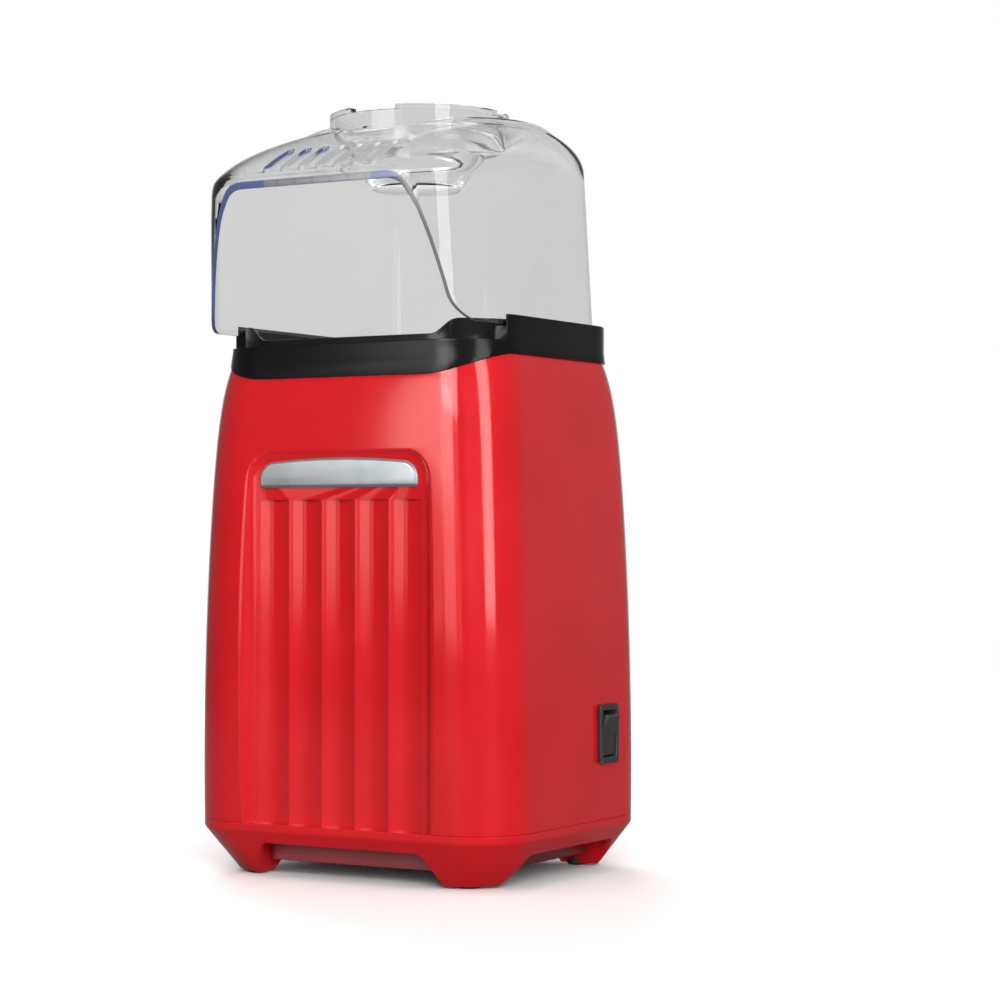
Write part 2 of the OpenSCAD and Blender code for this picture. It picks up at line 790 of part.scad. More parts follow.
// Side view of what is cut away in front of the leaning mouth, with its lower fillet.
module mouth_cut() {
    tangent = mouth_reach - mouth_fillet / tan((90 + mouth_lean) / 2);
    arc = [for (i = [0 : 8]) let (a = -90 - (90 - mouth_lean) * i / 8)
        [-tangent + mouth_fillet * cos(a), mouth_fillet + mouth_fillet * sin(a)]];
    translate([0, 0, hood_z]) rotate([90, 0, 90]) linear_extrude(far, center = true)
        polygon(concat([[-far, -2 * over], [-tangent, -2 * over]], arc,
                       [[-mouth_at(hood_h), hood_h], [-far, hood_h]]));
}

slot_pitch = 8;
module vent_slots() {
    length = 18;
    start = front_reach - 4.8;
    for (i = [0 : slot_count - 1])
        translate([(i - (slot_count - 1) / 2) * slot_pitch, 0, hood_z + slope_z - 10]) linear_extrude(40) {
            translate([-slot_w / 2, slot_w / 2 - start]) square([slot_w, length - slot_w]);
            for (y = [slot_w / 2 - start, length - slot_w / 2 - start])
                translate([0, y]) circle(slot_w / 2);
        }
}

module hood() {
    placed(CLEAR) difference() {
        union() {
            hood_form(0, 0, arc_steps);
            translate([0, 0, hood_z + hood_shoulder]) cylinder(r = neck_r, h = neck_top - hood_shoulder);
        }
        hood_form(hood_t, -over, inner_steps);
        translate([0, 0, hood_z + hood_shoulder - over]) cylinder(r = neck_r - neck_t, h = far);
        mouth_cut();
        vent_slots();
    }
}

// Outline of the cup's outside, moved inwards by t for its inside.
module cup_profile(t) {
    wide_z = cup_rim_z - cup_wide_h;
    top = cup_rim_z + (t > 0 ? over : 0);
    polygon([
        [0, cup_z + t],
        [cup_floor_r - t, cup_z + t],
        [cup_floor_r + cup_chamfer - t, cup_z + cup_chamfer + t / 2],
        [cup_neck_r - t, wide_z - 2 * cup_chamfer + t / 2],
        [cup_r - cup_step - t, wide_z - cup_chamfer + t],
        [cup_r - t, wide_z + t],
        [cup_r - t, top],
        [0, top]
    ]);
}

module notch(at, angle) {
    rotate(at - 90) translate([0, 0, cup_rim_z - cup_flange])
        rotate_extrude(angle = angle, start = -angle / 2)
            translate([cup_r - 4, 0]) square([10, cup_flange + over]);
}

module measuring_cup() {
    placed(CLEAR) difference() {
        union() {
            rotate_extrude() cup_profile(0);
            translate([0, 0, cup_rim_z - cup_flange]) cylinder(r = neck_r, h = cup_flange);
        }
        rotate_extrude() cup_profile(cup_t);
        for (at = [0, 180])
            notch(at, front_notch);
        for (at = [-side_notch_at, side_notch_at])
            notch(at, side_notch);
    }
}

// ================= popping chamber, duct and heater =================

module chamber_shape(t, top) {
    // Pressed cup with a rounded foot and a gently raised floor.
    r = chamber_r - t;
    bend = chamber_foot - t;
    foot = [for (i = [0 : 6]) let (a = -90 + 15 * i)
        [r - bend + bend * cos(a), chamber_z + chamber_foot + bend * sin(a)]];
    polygon(concat([[0, chamber_z + chamber_dome + t]], foot, [[r, top], [0, top]]));
}

module around_chamber() {
    for (i = [0 : louvre_count - 1])
        rotate(360 * i / louvre_count) children();
}

module popping_chamber() {
    placed(ALUMINIUM) difference() {
        union() {
            rotate_extrude() chamber_shape(0, flange_z + chamber_t);
            translate([0, 0, flange_z]) cylinder(r = gasket_r, h = chamber_t);
            // Pressed lips beside the louvres turn the hot air round the chamber.
            intersection() {
                around_chamber() translate([chamber_r - 1, 1, louvre_z])
                    rotate(louvre_turn) cube([2.6, 0.7, louvre_h]);
                cylinder(r = chamber_r + 1.2, h = far);
            }
        }
        rotate_extrude() chamber_shape(chamber_t, flange_z + 2 * over);
        around_chamber() translate([chamber_r - 2, -0.9, louvre_z])
            rotate(louvre_turn) cube([4.2, 1.6, louvre_h]);
    }
}

module chamber_gasket() {
    placed(RUBBER) ring_wall(gasket_r, chamber_hole, floor_z, floor_z + gasket_t);
}

// Round ears that the shroud's screws pass through.
module ears(h) {
    at_corners(leg) cylinder(r = ear_r, h = h);
}

module heater_duct() {
    placed(STEEL) difference() {
        translate([0, 0, duct_z]) {
            cylinder(r = duct_r + duct_t, h = duct_top - duct_z);
            cylinder(r = flange_r, h = duct_t);
            ears(duct_t);
        }
        translate([0, 0, duct_z - over]) cylinder(r = duct_r, h = far);
        at_corners(leg) translate([0, 0, duct_z - over]) cylinder(r = screw_r + fit, h = duct_t + 2 * over);
    }
}

function coil_at(turn) = [coil_r * cos(360 * turn), coil_r * sin(360 * turn), coil_z + coil_pitch * turn];

module heater_frame() {
    half = duct_r - fit;
    placed(MICA) for (q = [0, 1]) rotate(90 * q) difference() {
        translate([-half, -mica_t / 2, mica_z]) cube([2 * half, mica_t, mica_h]);
        for (k = [0 : 2 * coil_turns])
            let (turn = k / 2 + q / 4, p = coil_at(turn))
                translate([(k % 2 == 0 ? 1 : -1) * coil_r, 0, p[2]]) rotate([90, 0, 0])
                    cylinder(r = coil_wire + fit, h = 10, center = true);
        // Halving joint: each plate is slotted over half its height.
        translate([-mica_t / 2 - seat, -over, mica_z + (q == 0 ? mica_h / 2 - seat : -over)])
            cube([mica_t + 2 * seat, 2 * over, mica_h / 2 + seat + over]);
    }
}

module heater_coil() {
    rings = 20;
    sides = 6;
    // Point b degrees round the wire's section at a turn.
    function wire_at(turn, b) = coil_at(turn)
        + coil_wire * [sin(b) * cos(360 * turn), sin(b) * sin(360 * turn), cos(b)];
    placed(STEEL) loft([for (k = [0 : rings * coil_turns])
        [for (s = [0 : sides - 1]) wire_at(k / rings, 360 * s / sides)]]);
}

// ================= fan and motor =================

// Blade section at radius r: a thin cambered strip, flatter towards the tip.
function blade_section(r) =
    let (pitch = blade_pitch - blade_twist * (r - hub_r) / (fan_r - hub_r),
         chord = blade_span * fan_h / sin(pitch),
         there = [for (i = [0 : 4]) [i / 4, -blade_t / 2]],
         back = [for (i = [4 : -1 : 0]) [i / 4, blade_t / 2]])
        [for (s = concat(there, back))
            let (u = (s[0] - 0.5) * chord,
                 v = s[1] + blade_camber * chord * s[0] * (1 - s[0]),
                 y = u * cos(pitch) - v * sin(pitch),
                 z = u * sin(pitch) + v * cos(pitch))
                [r, y, z]];

module fan_blade() {
    loft([for (k = [0 : 4]) blade_section(blade_root + (fan_r + 0.5 - blade_root) * k / 4)]);
}

module fan_impeller() {
    placed([0.85, 0.85, 0.82]) translate([0, 0, fan_z]) difference() {
        union() {
            cylinder(r = hub_r, h = fan_h - hub_chamfer);
            translate([0, 0, fan_h - hub_chamfer])
                cylinder(r1 = hub_r, r2 = hub_r - hub_chamfer, h = hub_chamfer);
            intersection() {
                for (i = [0 : blade_count - 1])
                    rotate(360 * i / blade_count) translate([0, 0, fan_h / 2]) fan_blade();
                translate([0, 0, -over]) cylinder(r = fan_r, h = fan_h + 2 * over);
            }
        }
        translate([0, 0, -over]) cylinder(r = shaft_r + film, h = fan_h + 2 * over);
        translate([0, 0, -over]) difference() {
            cylinder(r = blade_root - hub_wall, h = fan_h + over - hub_lid);
            cylinder(r = clip_r + fit, h = fan_h);
        }
    }
}

module impeller_clip() {
    placed(STEEL) ring_wall(clip_r, shaft_r + film, fan_z + fan_h, fan_z + fan_h + clip_t);
}

module fan_shroud() {
    placed(BLACK) difference() {
        union() {
            ring_wall(shroud_r + shroud_t, shroud_r, shroud_z - spoke_h, duct_z);
            ring_wall(flange_r, shroud_r, duct_z - flange_t, duct_z);
            ring_wall(motor_r + seat + socket_t, motor_r + seat, motor_top - socket_h, motor_top);
            for (a = [0 : 60 : 359])
                rotate(a) translate([motor_r + seat + socket_t - over, -spoke_t / 2, shroud_z - spoke_h])
                    cube([shroud_r - motor_r - socket_t + 2 * over, spoke_t, spoke_h - 2]);
            at_corners(leg) translate([0, 0, pan_floor]) cylinder(r = leg_r, h = duct_z - pan_floor);
            translate([0, 0, duct_z - flange_t]) ears(flange_t);
        }
        cylinder(r = motor_r + seat, h = duct_z);
        translate([0, 0, motor_top]) cylinder(r = shroud_r, h = far);
        at_corners(leg) {
            translate([0, 0, pan_floor - over]) cylinder(r = screw_r + seat, h = leg_hole + over);
            translate([0, 0, duct_z - leg_hole]) cylinder(r = screw_r + seat, h = leg_hole + over);
        }
    }
}

module motor_can() {
    boss = bush_r + can_t;
    inner = motor_r - can_t;
    lid = motor_top - can_t;
    nose = motor_top + bush_h / 2;
    placed(STEEL) rotate_extrude() polygon([
        [inner, motor_z], [motor_r, motor_z], [motor_r, motor_top], [boss, motor_top],
        [boss, nose], [bush_r, nose], [bush_r, lid], [inner, lid]
    ]);
}

module motor_magnets() {
    placed([0.22, 0.22, 0.23]) for (a = [0, 180])
        rotate(a) translate([0, 0, motor_z + magnet_end])
            rotate_extrude(angle = magnet_arc, start = -magnet_arc / 2)
                translate([magnet_r - magnet_t, 0]) square([magnet_t, motor_h - 2 * magnet_end]);
}

module motor_armature() {
    core_z = motor_z + 9;
    core_h = motor_h - 17;
    commutator_z = motor_z + 2;
    poles = 5;
    winding_slot = [1.6, 1.4];  // depth and width of a slot between two poles
    placed([0.55, 0.38, 0.22]) difference() {
        union() {
            translate([0, 0, core_z]) cylinder(r = armature_r, h = core_h);
            translate([0, 0, commutator_z]) cylinder(r = 3.6, h = core_z - commutator_z);
        }
        translate([0, 0, motor_z]) cylinder(r = shaft_r + film, h = motor_h);
        for (i = [0 : poles - 1])
            rotate(360 * i / poles)
                translate([armature_r - winding_slot[0], -winding_slot[1] / 2, core_z - over])
                    cube([winding_slot[0] + over, winding_slot[1], core_h + 2 * over]);
    }
}

module motor_shaft() {
    placed(STEEL) translate([0, 0, motor_z - 2]) cylinder(r = shaft_r, h = shaft_end - motor_z + 2);
}

module motor_bushes() {
    placed([0.72, 0.52, 0.26]) {
        ring_wall(bush_r, shaft_r + run_gap, motor_top - bush_h / 2, motor_top + bush_h / 2);
        ring_wall(bush_r, shaft_r + run_gap, motor_z + cap_lip - bush_h, motor_z + cap_lip);
    }
}

module motor_end_cap() {
    placed([0.9, 0.9, 0.87]) {
        difference() {
            union() {
                translate([0, 0, motor_z - cap_h]) cylinder(r = motor_r, h = cap_h);
                translate([0, 0, motor_z]) cylinder(r = motor_r - can_t - seat, h = cap_lip);
            }
            translate([0, 0, motor_z + cap_lip - bush_h]) cylinder(r = bush_r, h = bush_h + over);
        }
        for (x = [-tab_at, tab_at])
            translate([x - tab_w / 2, -tab_t / 2, board_z + board_t])
                cube([tab_w, tab_t, motor_z - cap_h - board_z - board_t]);
    }
}

diode_r = 1.35;
diode_l = 5.5;
diode_sink = 0.15;              // how deep a diode sits in its solder
module rectifier_board() {
    placed([0.20, 0.34, 0.20]) {
        translate([0, 0, board_z]) cylinder(r = motor_r - 1, h = board_t);
        for (x = [-6 : 4 : 6])
            translate([x, 0, board_z + diode_sink - diode_r]) rotate([90, 0, 0])
                cylinder(r = diode_r, h = diode_l, center = true);
    }
}

// ================= heat cut-outs =================

cutout_z = louvre_z + louvre_h / 2 + 0.2;

cutout_gap = 0.2;               // distance of the cut-outs from the duct's wall
cutout_face = duct_r + duct_t + cutout_gap;

module thermostat() {
    strap = [1, 22, 10];
    can_r = 7.5;
    can_deep = 6;
    tab = [6, 3.2, 0.8];
    placed([0.80, 0.78, 0.72]) {
        translate([cutout_face, -strap[1] / 2, cutout_z - strap[2] / 2]) cube(strap);
        translate([cutout_face + strap[0] - seat, 0, cutout_z]) rotate([0, 90, 0])
            cylinder(r = can_r, h = can_deep);
        for (y = [-can_r / 2, can_r / 2])
            translate([cutout_face + can_deep, y - tab[1] / 2, cutout_z - tab[2] / 2]) cube(tab);
    }
}

module thermal_fuse() {
    body_r = 2;
    body_l = 14;
    clip = [2.4, 6, 1];
    placed([0.86, 0.84, 0.78]) mirror([1, 0, 0]) {
        translate([cutout_face + body_r, 0, cutout_z - body_l / 2]) cylinder(r = body_r, h = body_l);
        for (z = [-5, 5])
            translate([cutout_face, -clip[1] / 2, cutout_z + z - clip[2] / 2]) cube(clip);
    }
}

// ================= switch and gland =================

module switch_body() {
    blade = [8, 0.8, 4.8];
    placed(BLACK) translate([0, switch_y, switch_z]) difference() {
        union() {
            translate([switch_face, 0, 0]) rotate([0, 90, 0]) linear_extrude(bezel_t)
                plate(bezel_half[1], bezel_half[0], bezel_half[0], 1.5);
            translate([switch_face - switch_deep, -switch_half[0], -switch_half[1]])
                cube([switch_deep + bezel_t / 2, 2 * switch_half[0], 2 * switch_half[1]]);
            for (y = [-switch_half[0] / 2, switch_half[0] / 2])
                translate([switch_face - switch_deep - blade[0] + over, y - blade[1] / 2, -blade[2] / 2])
                    cube(blade);
        }
        translate([rocker_x - rocker_well, -rocker_open[0], -rocker_open[1]])
            cube([switch_deep, 2 * rocker_open[0], 2 * rocker_open[1]]);
        translate([rocker_x, 0, 0]) rotate([90, 0, 0])
            cylinder(r = pin_r + run_gap, h = pin_l + fit, center = true);
    }
}

module switch_rocker() {
    h = rocker_half[1];
    back = -2;
    edge = 3.2;
    crest = 4.6;
    hollow = 3.4;               // the pressed face dips towards the pins
    placed(BLACK) translate([rocker_x, switch_y, switch_z]) rotate([0, rocker_tilt, 0]) {
        rotate([90, 0, 0]) linear_extrude(2 * rocker_half[0], center = true)
            polygon([[back, 2.5 - h], [edge, -h], [crest, fit - h], [hollow, 0],
                     [crest, h - fit], [edge, h], [back, h - 2.5]]);
        rotate([90, 0, 0]) cylinder(r = pin_r, h = pin_l, center = true);
    }
}

module cord_gland() {
    placed(RUBBER) translate([0, gland_face, gland_z]) rotate([-90, 0, 0]) difference() {
        union() {
            cylinder(r1 = gland_r, r2 = gland_r - gland_taper, h = gland_proud);
            translate([0, 0, -gland_back]) cylinder(r = gland_hole, h = gland_back + over);
            translate([0, 0, -gland_back - seat]) cylinder(r = gland_hole + gland_lip, h = gland_lip_t);
        }
        translate([0, 0, -far / 2]) cylinder(r = gland_bore, h = far);
    }
}

// ================= fasteners =================

module base_screws() {
    placed(STEEL) {
        at_corners(foot_screw) translate([0, 0, foot_counterbore]) screw(seam_z - foot_counterbore + 16);
        at_corners(leg) translate([0, 0, pan_z]) screw(14);
    }
}

module collar_screws() {
    placed(STEEL) at_corners(collar_post) translate([0, 0, lug_z]) screw(14);
}

module shroud_screws() {
    placed(STEEL) at_corners(leg) translate([0, 0, duct_z + duct_t]) rotate([180, 0, 0]) screw(11);
}

housing();
base_skirt();
bottom_plate();
foot_pads();
badge();
collar();
hood();
measuring_cup();
popping_chamber();
chamber_gasket();
heater_duct();
heater_frame();
heater_coil();
fan_impeller();
impeller_clip();
fan_shroud();
motor_can();
motor_magnets();
motor_armature();
motor_shaft();
motor_bushes();
motor_end_cap();
rectifier_board();
thermostat();
thermal_fuse();
switch_body();
switch_rocker();
cord_gland();
base_screws();
collar_screws();
shroud_screws();
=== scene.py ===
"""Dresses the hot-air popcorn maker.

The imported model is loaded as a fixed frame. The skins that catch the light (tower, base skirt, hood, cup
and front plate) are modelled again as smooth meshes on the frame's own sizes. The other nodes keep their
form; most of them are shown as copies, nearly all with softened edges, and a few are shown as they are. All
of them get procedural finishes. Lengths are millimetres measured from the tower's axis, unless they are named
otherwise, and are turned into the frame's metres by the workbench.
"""

from __future__ import annotations

import json
import logging
import math
from dataclasses import dataclass
from enum import Enum
from typing import Callable, Iterable, Sequence

import bmesh
import bpy
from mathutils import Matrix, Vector

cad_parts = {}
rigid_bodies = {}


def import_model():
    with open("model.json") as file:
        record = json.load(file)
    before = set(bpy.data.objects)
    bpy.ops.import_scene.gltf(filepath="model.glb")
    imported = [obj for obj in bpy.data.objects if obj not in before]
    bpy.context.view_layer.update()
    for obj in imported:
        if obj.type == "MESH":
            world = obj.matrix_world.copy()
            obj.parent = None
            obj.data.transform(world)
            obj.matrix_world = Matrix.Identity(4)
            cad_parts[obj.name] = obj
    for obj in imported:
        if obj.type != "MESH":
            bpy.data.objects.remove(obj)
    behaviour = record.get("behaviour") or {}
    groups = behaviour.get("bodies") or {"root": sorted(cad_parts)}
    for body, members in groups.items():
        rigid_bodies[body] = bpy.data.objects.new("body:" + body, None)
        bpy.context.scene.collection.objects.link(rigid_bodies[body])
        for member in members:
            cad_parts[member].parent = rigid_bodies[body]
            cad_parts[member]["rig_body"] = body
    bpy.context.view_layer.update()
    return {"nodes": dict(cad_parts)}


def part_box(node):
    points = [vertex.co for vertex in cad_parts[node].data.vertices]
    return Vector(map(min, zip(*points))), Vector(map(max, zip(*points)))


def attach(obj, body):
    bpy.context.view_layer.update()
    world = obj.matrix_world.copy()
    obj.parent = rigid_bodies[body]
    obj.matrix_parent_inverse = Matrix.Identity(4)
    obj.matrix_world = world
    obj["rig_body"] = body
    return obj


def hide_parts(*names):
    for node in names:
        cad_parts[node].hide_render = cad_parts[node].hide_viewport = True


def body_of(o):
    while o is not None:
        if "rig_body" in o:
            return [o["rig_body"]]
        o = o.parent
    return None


log = logging.getLogger("popcorn_maker")

MM = 0.001
Point = tuple[float, float, float]
Colour = tuple[float, float, float]
Node = bpy.types.Node
Object = bpy.types.Object
Socket = bpy.types.NodeSocket
PAST = 9.0  # How far a cutter runs past what it cuts, in millimetres.


# ---------------------------------------------------------------- workbench


class Pick(Enum):
    """What an edit-mode selection is made of."""

    VERTS = "VERT"
    EDGES = "EDGE"
    FACES = "FACE"


@dataclass(frozen=True)
class Axis:
    """Where the tower's axis stands in the frame, in metres."""

    x: float
    y: float

    @classmethod
    def from_frame(cls) -> "Axis":
        """Reads the axis from the middle of the cup, which is turned about it."""
        low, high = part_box("measuring_cup")
        return cls((low.x + high.x) / 2, (low.y + high.y) / 2)

    def place(self, at: Point) -> Vector:
        """Turns a point in millimetres from the axis into a point of the frame."""
        return Vector((at[0] * MM + self.x, at[1] * MM + self.y, at[2] * MM))

    def read(self, at: Vector) -> Vector:
        """Turns a point of the frame into millimetres from the axis."""
        return (at - Vector((self.x, self.y, 0))) / MM


@dataclass
class Bench:
    """Models pieces in edit mode, as by hand, and keeps their objects at the origin."""

    axis: Axis

    def clear(self) -> None:
        """Leaves edit mode and deselects everything."""
        if bpy.context.object and bpy.context.object.mode != "OBJECT":
            bpy.ops.object.mode_set(mode="OBJECT")
        for item in bpy.context.selected_objects:
            item.select_set(False)

    def activate(self, piece: Object) -> None:
        """Makes one piece the only selected object and the active one.

        Args:
            piece: The object.
        """
        self.clear()
        piece.select_set(True)
        bpy.context.view_layer.objects.active = piece

    def settle(self, piece: Object, name: str) -> Object:
        """Names a new piece and moves its place into its mesh.

        Args:
            piece: The object that was just added.
            name: Its name in the scene.

        Returns:
            The same object, at the origin, unturned and unscaled.
        """
        piece.name = name
        piece.data.name = name
        self.activate(piece)
        bpy.ops.object.transform_apply(location=True, rotation=True, scale=True)
        return piece

    def box(self, name: str, low: Point, high: Point) -> Object:
        """Adds a block between two corners.

        Args:
            name: Name of the new object.
            low: Lowest corner in millimetres from the axis.
            high: Highest corner.

        Returns:
            The block.
        """
        self.clear()
        middle = [(a + b) / 2 for a, b in zip(low, high)]
        size = [(b - a) * MM for a, b in zip(low, high)]
        bpy.ops.mesh.primitive_cube_add(size=1, location=self.axis.place(middle), scale=size)
        return self.settle(bpy.context.object, name)

    def drum(self, name: str, radius: float, z0: float, z1: float, at: tuple[float, float] = (0, 0),
             segments: int = 128) -> Object:
        """Adds an upright cylinder.

        Args:
            name: Name of the new object.
            radius: Its radius in millimetres.
            z0: Height of its lower end.
            z1: Height of its upper end.
            at: Its centre in X and Y from the axis.
            segments: Number of its sides.

        Returns:
            The cylinder.
        """
        return self.bar(name, radius, z1 - z0, (*at, (z0 + z1) / 2), (0, 0, 0), segments)

    def bar(self, name: str, radius: float, length: float, at: Point, turn: Point,
            segments: int) -> Object:
        """Adds a cylinder that may lie or lean.

        Args:
            name: Name of the new object.
            radius: Its radius in millimetres.
            length: Its length.
            at: Its middle, from the axis.
            turn: Angles in degrees about X, Y and Z that turn it from upright.
            segments: Number of its sides.

        Returns:
            The cylinder.
        """
        self.clear()
        bpy.ops.mesh.primitive_cylinder_add(
            vertices=segments, radius=radius * MM, depth=length * MM, location=self.axis.place(at),
            rotation=[math.radians(angle) for angle in turn])
        return self.settle(bpy.context.object, name)

    def edit(self, piece: Object) -> "Edit":
        """Opens a piece in edit mode for a with block."""
        return Edit(self, piece)

    def modify(self, piece: Object, kind: str, **settings: object) -> None:
        """Adds one modifier and applies it.

        Args:
            piece: The object that is modified.
            kind: The modifier's type, such as BEVEL.
            **settings: Its properties.
        """
        self.activate(piece)
        modifier = piece.modifiers.new(kind.lower(), kind)
        for key, value in settings.items():
            setattr(modifier, key, value)
        bpy.ops.object.modifier_apply(modifier=modifier.name)

    def combine(self, piece: Object, tool: Object, how: str = "DIFFERENCE") -> None:
        """Cuts a piece with a tool, joins them or keeps their overlap, and removes the tool.

        Args:
            piece: The object that is kept.
            tool: The object that is used up.
            how: DIFFERENCE, UNION or INTERSECT.
        """
        self.modify(piece, "BOOLEAN", operation=how, object=tool, solver="EXACT")
        bpy.data.meshes.remove(tool.data)

    def cut(self, piece: Object, *tools: Object) -> None:
        """Cuts a piece with each tool in turn, and removes the tools."""
        for tool in tools:
            self.combine(piece, tool)

    def smooth(self, piece: Object, angle: float = 30) -> None:
        """Merges doubles, drops loose edges and shades a piece smooth up to an angle in degrees.

        Args:
            piece: The object.
            angle: The sharpest angle between faces, in degrees, that is still shaded smooth.
        """
        self.activate(piece)
        bpy.ops.object.mode_set(mode="EDIT")
        bpy.ops.mesh.select_all(action="SELECT")
        bpy.ops.mesh.remove_doubles(threshold=0.002 * MM)
        bpy.ops.mesh.delete_loose()
        bpy.ops.object.mode_set(mode="OBJECT")
        bpy.ops.object.shade_smooth_by_angle(angle=math.radians(angle))


class Edit:
    """Edit mode on one piece, with selections made by place or by normal."""

    def __init__(self, bench: Bench, piece: Object) -> None:
        """Keeps the bench that knows the axis, and the piece to open."""
        self.bench = bench
        self.piece = piece

    def __enter__(self) -> "Edit":
        """Enters edit mode with nothing selected.

        Returns:
            The edit itself.
        """
        self.bench.activate(self.piece)
        bpy.ops.object.mode_set(mode="EDIT")
        bpy.ops.mesh.select_all(action="DESELECT")
        return self

    def __exit__(self, *problem: object) -> None:
        """Goes back to object mode."""
        bpy.ops.object.mode_set(mode="OBJECT")

    def pick(self, what: Pick, test: Callable[[Vector, object], bool] = lambda at, element: True) -> int:
        """Selects the elements that pass a test, and nothing else.

        Args:
            what: Whether verts, edges or faces are tested.
            test: Takes an element's middle in millimetres from the axis, and the element. Without one, all
                are picked.

        Returns:
            How many elements were picked.
        """
        bpy.ops.mesh.select_all(action="DESELECT")
        bpy.ops.mesh.select_mode(type=what.value)
        work = bmesh.from_edit_mesh(self.piece.data)
        pool = {Pick.VERTS: work.verts, Pick.EDGES: work.edges, Pick.FACES: work.faces}[what]
        count = 0
        for element in pool:
            if what is Pick.VERTS:
                middle = element.co
            elif what is Pick.EDGES:
                middle = (element.verts[0].co + element.verts[1].co) / 2
            else:
                middle = element.calc_center_median()
            chosen = bool(test(self.bench.axis.read(middle), element))
            element.select_set(chosen)
            count += chosen
        work.select_flush_mode()
        bmesh.update_edit_mesh(self.piece.data)
        return count

    def round(self, test: Callable[[Vector, object], bool], offset: float, segments: int,
              clamp: bool = True) -> int:
        """Rounds the edges that pass a test.

        Args:
            test: As for pick.
            offset: Width of the rounding in millimetres.
            segments: Number of its steps.
            clamp: Whether it is held back at short edges.

        Returns:
            How many edges were rounded.
        """
        count = self.pick(Pick.EDGES, test)
        bpy.ops.mesh.bevel(offset=offset * MM, segments=segments, profile=0.5, clamp_overlap=clamp)
        return count

    def extrude(self, move: Point) -> None:
        """Pulls the picked faces out by a move in millimetres."""
        shift = {"value": [part * MM for part in move]}
        bpy.ops.mesh.extrude_region_move(TRANSFORM_OT_translate=shift)

    def weigh(self, weight: Callable[[Vector], float]) -> None:
        """Gives the picked edges a bevel weight, 0 to 1, that depends on their place.

        Args:
            weight: Takes an edge's middle in millimetres from the axis, and gives its weight.
        """
        work = bmesh.from_edit_mesh(self.piece.data)
        name = "bevel_weight_edge"
        layer = work.edges.layers.float.get(name) or work.edges.layers.float.new(name)
        for edge in work.edges:
            middle = (edge.verts[0].co + edge.verts[1].co) / 2
            edge[layer] = weight(self.bench.axis.read(middle)) if edge.select else 0.0
        bmesh.update_edit_mesh(self.piece.data)

    def move(self, by: Point) -> None:
        """Moves what is picked, in millimetres."""
        bpy.ops.transform.translate(value=[part * MM for part in by])

    def turn(self, degrees: float) -> None:
        """Turns what is picked about the tower's axis."""
        bpy.ops.transform.rotate(value=math.radians(degrees), orient_axis="Z",
                                 center_override=self.bench.axis.place((0, 0, 0)))

    def resize(self, scale: Point, about: Point) -> None:
        """Scales what is picked about a point in millimetres from the axis."""
        bpy.ops.transform.resize(value=scale, center_override=self.bench.axis.place(about))


def span(edge: bmesh.types.BMEdge) -> Vector:
    """How far an edge reaches along X, Y and Z, in millimetres."""
    reach = (edge.verts[0].co - edge.verts[1].co) / MM
    return Vector((abs(reach.x), abs(reach.y), abs(reach.z)))


def sharp(edge: bmesh.types.BMEdge, degrees: float) -> bool:
    """Tells whether an edge's two faces meet at more than an angle."""
    return len(edge.link_faces) == 2 and edge.calc_face_angle(0.0) > math.radians(degrees)


@dataclass(frozen=True)
class Ring:
    """One level of a rounded-rectangle form, in millimetres from the axis."""

    z: float
    half: float
    front: float
    rear: float
    radius: float

    def corner(self, side: int, back: int) -> Point:
        """Centre of one corner arc.

        Args:
            side: -1 for the left, 1 for the right.
            back: -1 for the front, 1 for the rear.

        Returns:
            The centre in millimetres from the axis.
        """
        reach = self.rear if back > 0 else self.front
        return (side * (self.half - self.radius), back * (reach - self.radius), self.z)


def loft(bench: Bench, name: str, rings: Sequence[Ring], segments: int) -> Object:
    """Models a closed form through a stack of rounded rectangles.

    A block is rounded at its upright edges, then its top is pulled up level by level, and the four corner
    arcs of each new level are scaled and moved to that level's own corners.

    Args:
        bench: The workbench.
        name: Name of the new object.
        rings: The levels, from the lowest up.
        segments: Number of sides in each corner arc.

    Returns:
        The closed form.
    """
    first, second = rings[0], rings[1]
    piece = bench.box(name, (-first.half, -first.front, first.z), (first.half, first.rear, second.z))
    with bench.edit(piece) as edit:
        edit.round(lambda at, e: span(e).z > 0.5 * (second.z - first.z), first.radius, segments)
        for below, ring in zip([first, *rings[1:]], rings[1:]):
            if ring is not second:
                edit.pick(Pick.FACES, lambda at, f: f.normal.z > 0.9 and abs(at.z - below.z) < 0.01)
                edit.extrude((0, 0, ring.z - below.z))
            for side in (-1, 1):
                for back in (-1, 1):
                    place_corner(edit, below, ring, side, back)
    return piece


def place_corner(edit: Edit, old: Ring, new: Ring, side: int, back: int) -> None:
    """Scales and moves one corner arc of the top level to its own place.

    Args:
        edit: The open piece.
        old: The ring whose outline the top level still has.
        new: The ring that the top level becomes.
        side: -1 for the left, 1 for the right.
        back: -1 for the front, 1 for the rear.
    """
    centre = old.corner(side, back)
    goal = new.corner(side, back)
    middle_y = (old.rear - old.front) / 2
    edit.pick(Pick.VERTS, lambda at, v: abs(at.z - new.z) < 0.01 and at.x * side > 0
              and (at.y - middle_y) * back > 0)
    ratio = new.radius / old.radius
    edit.resize((ratio, ratio, 1), (centre[0], centre[1], new.z))
    edit.move((goal[0] - centre[0], goal[1] - centre[1], 0))


# ---------------------------------------------------------------- finishes


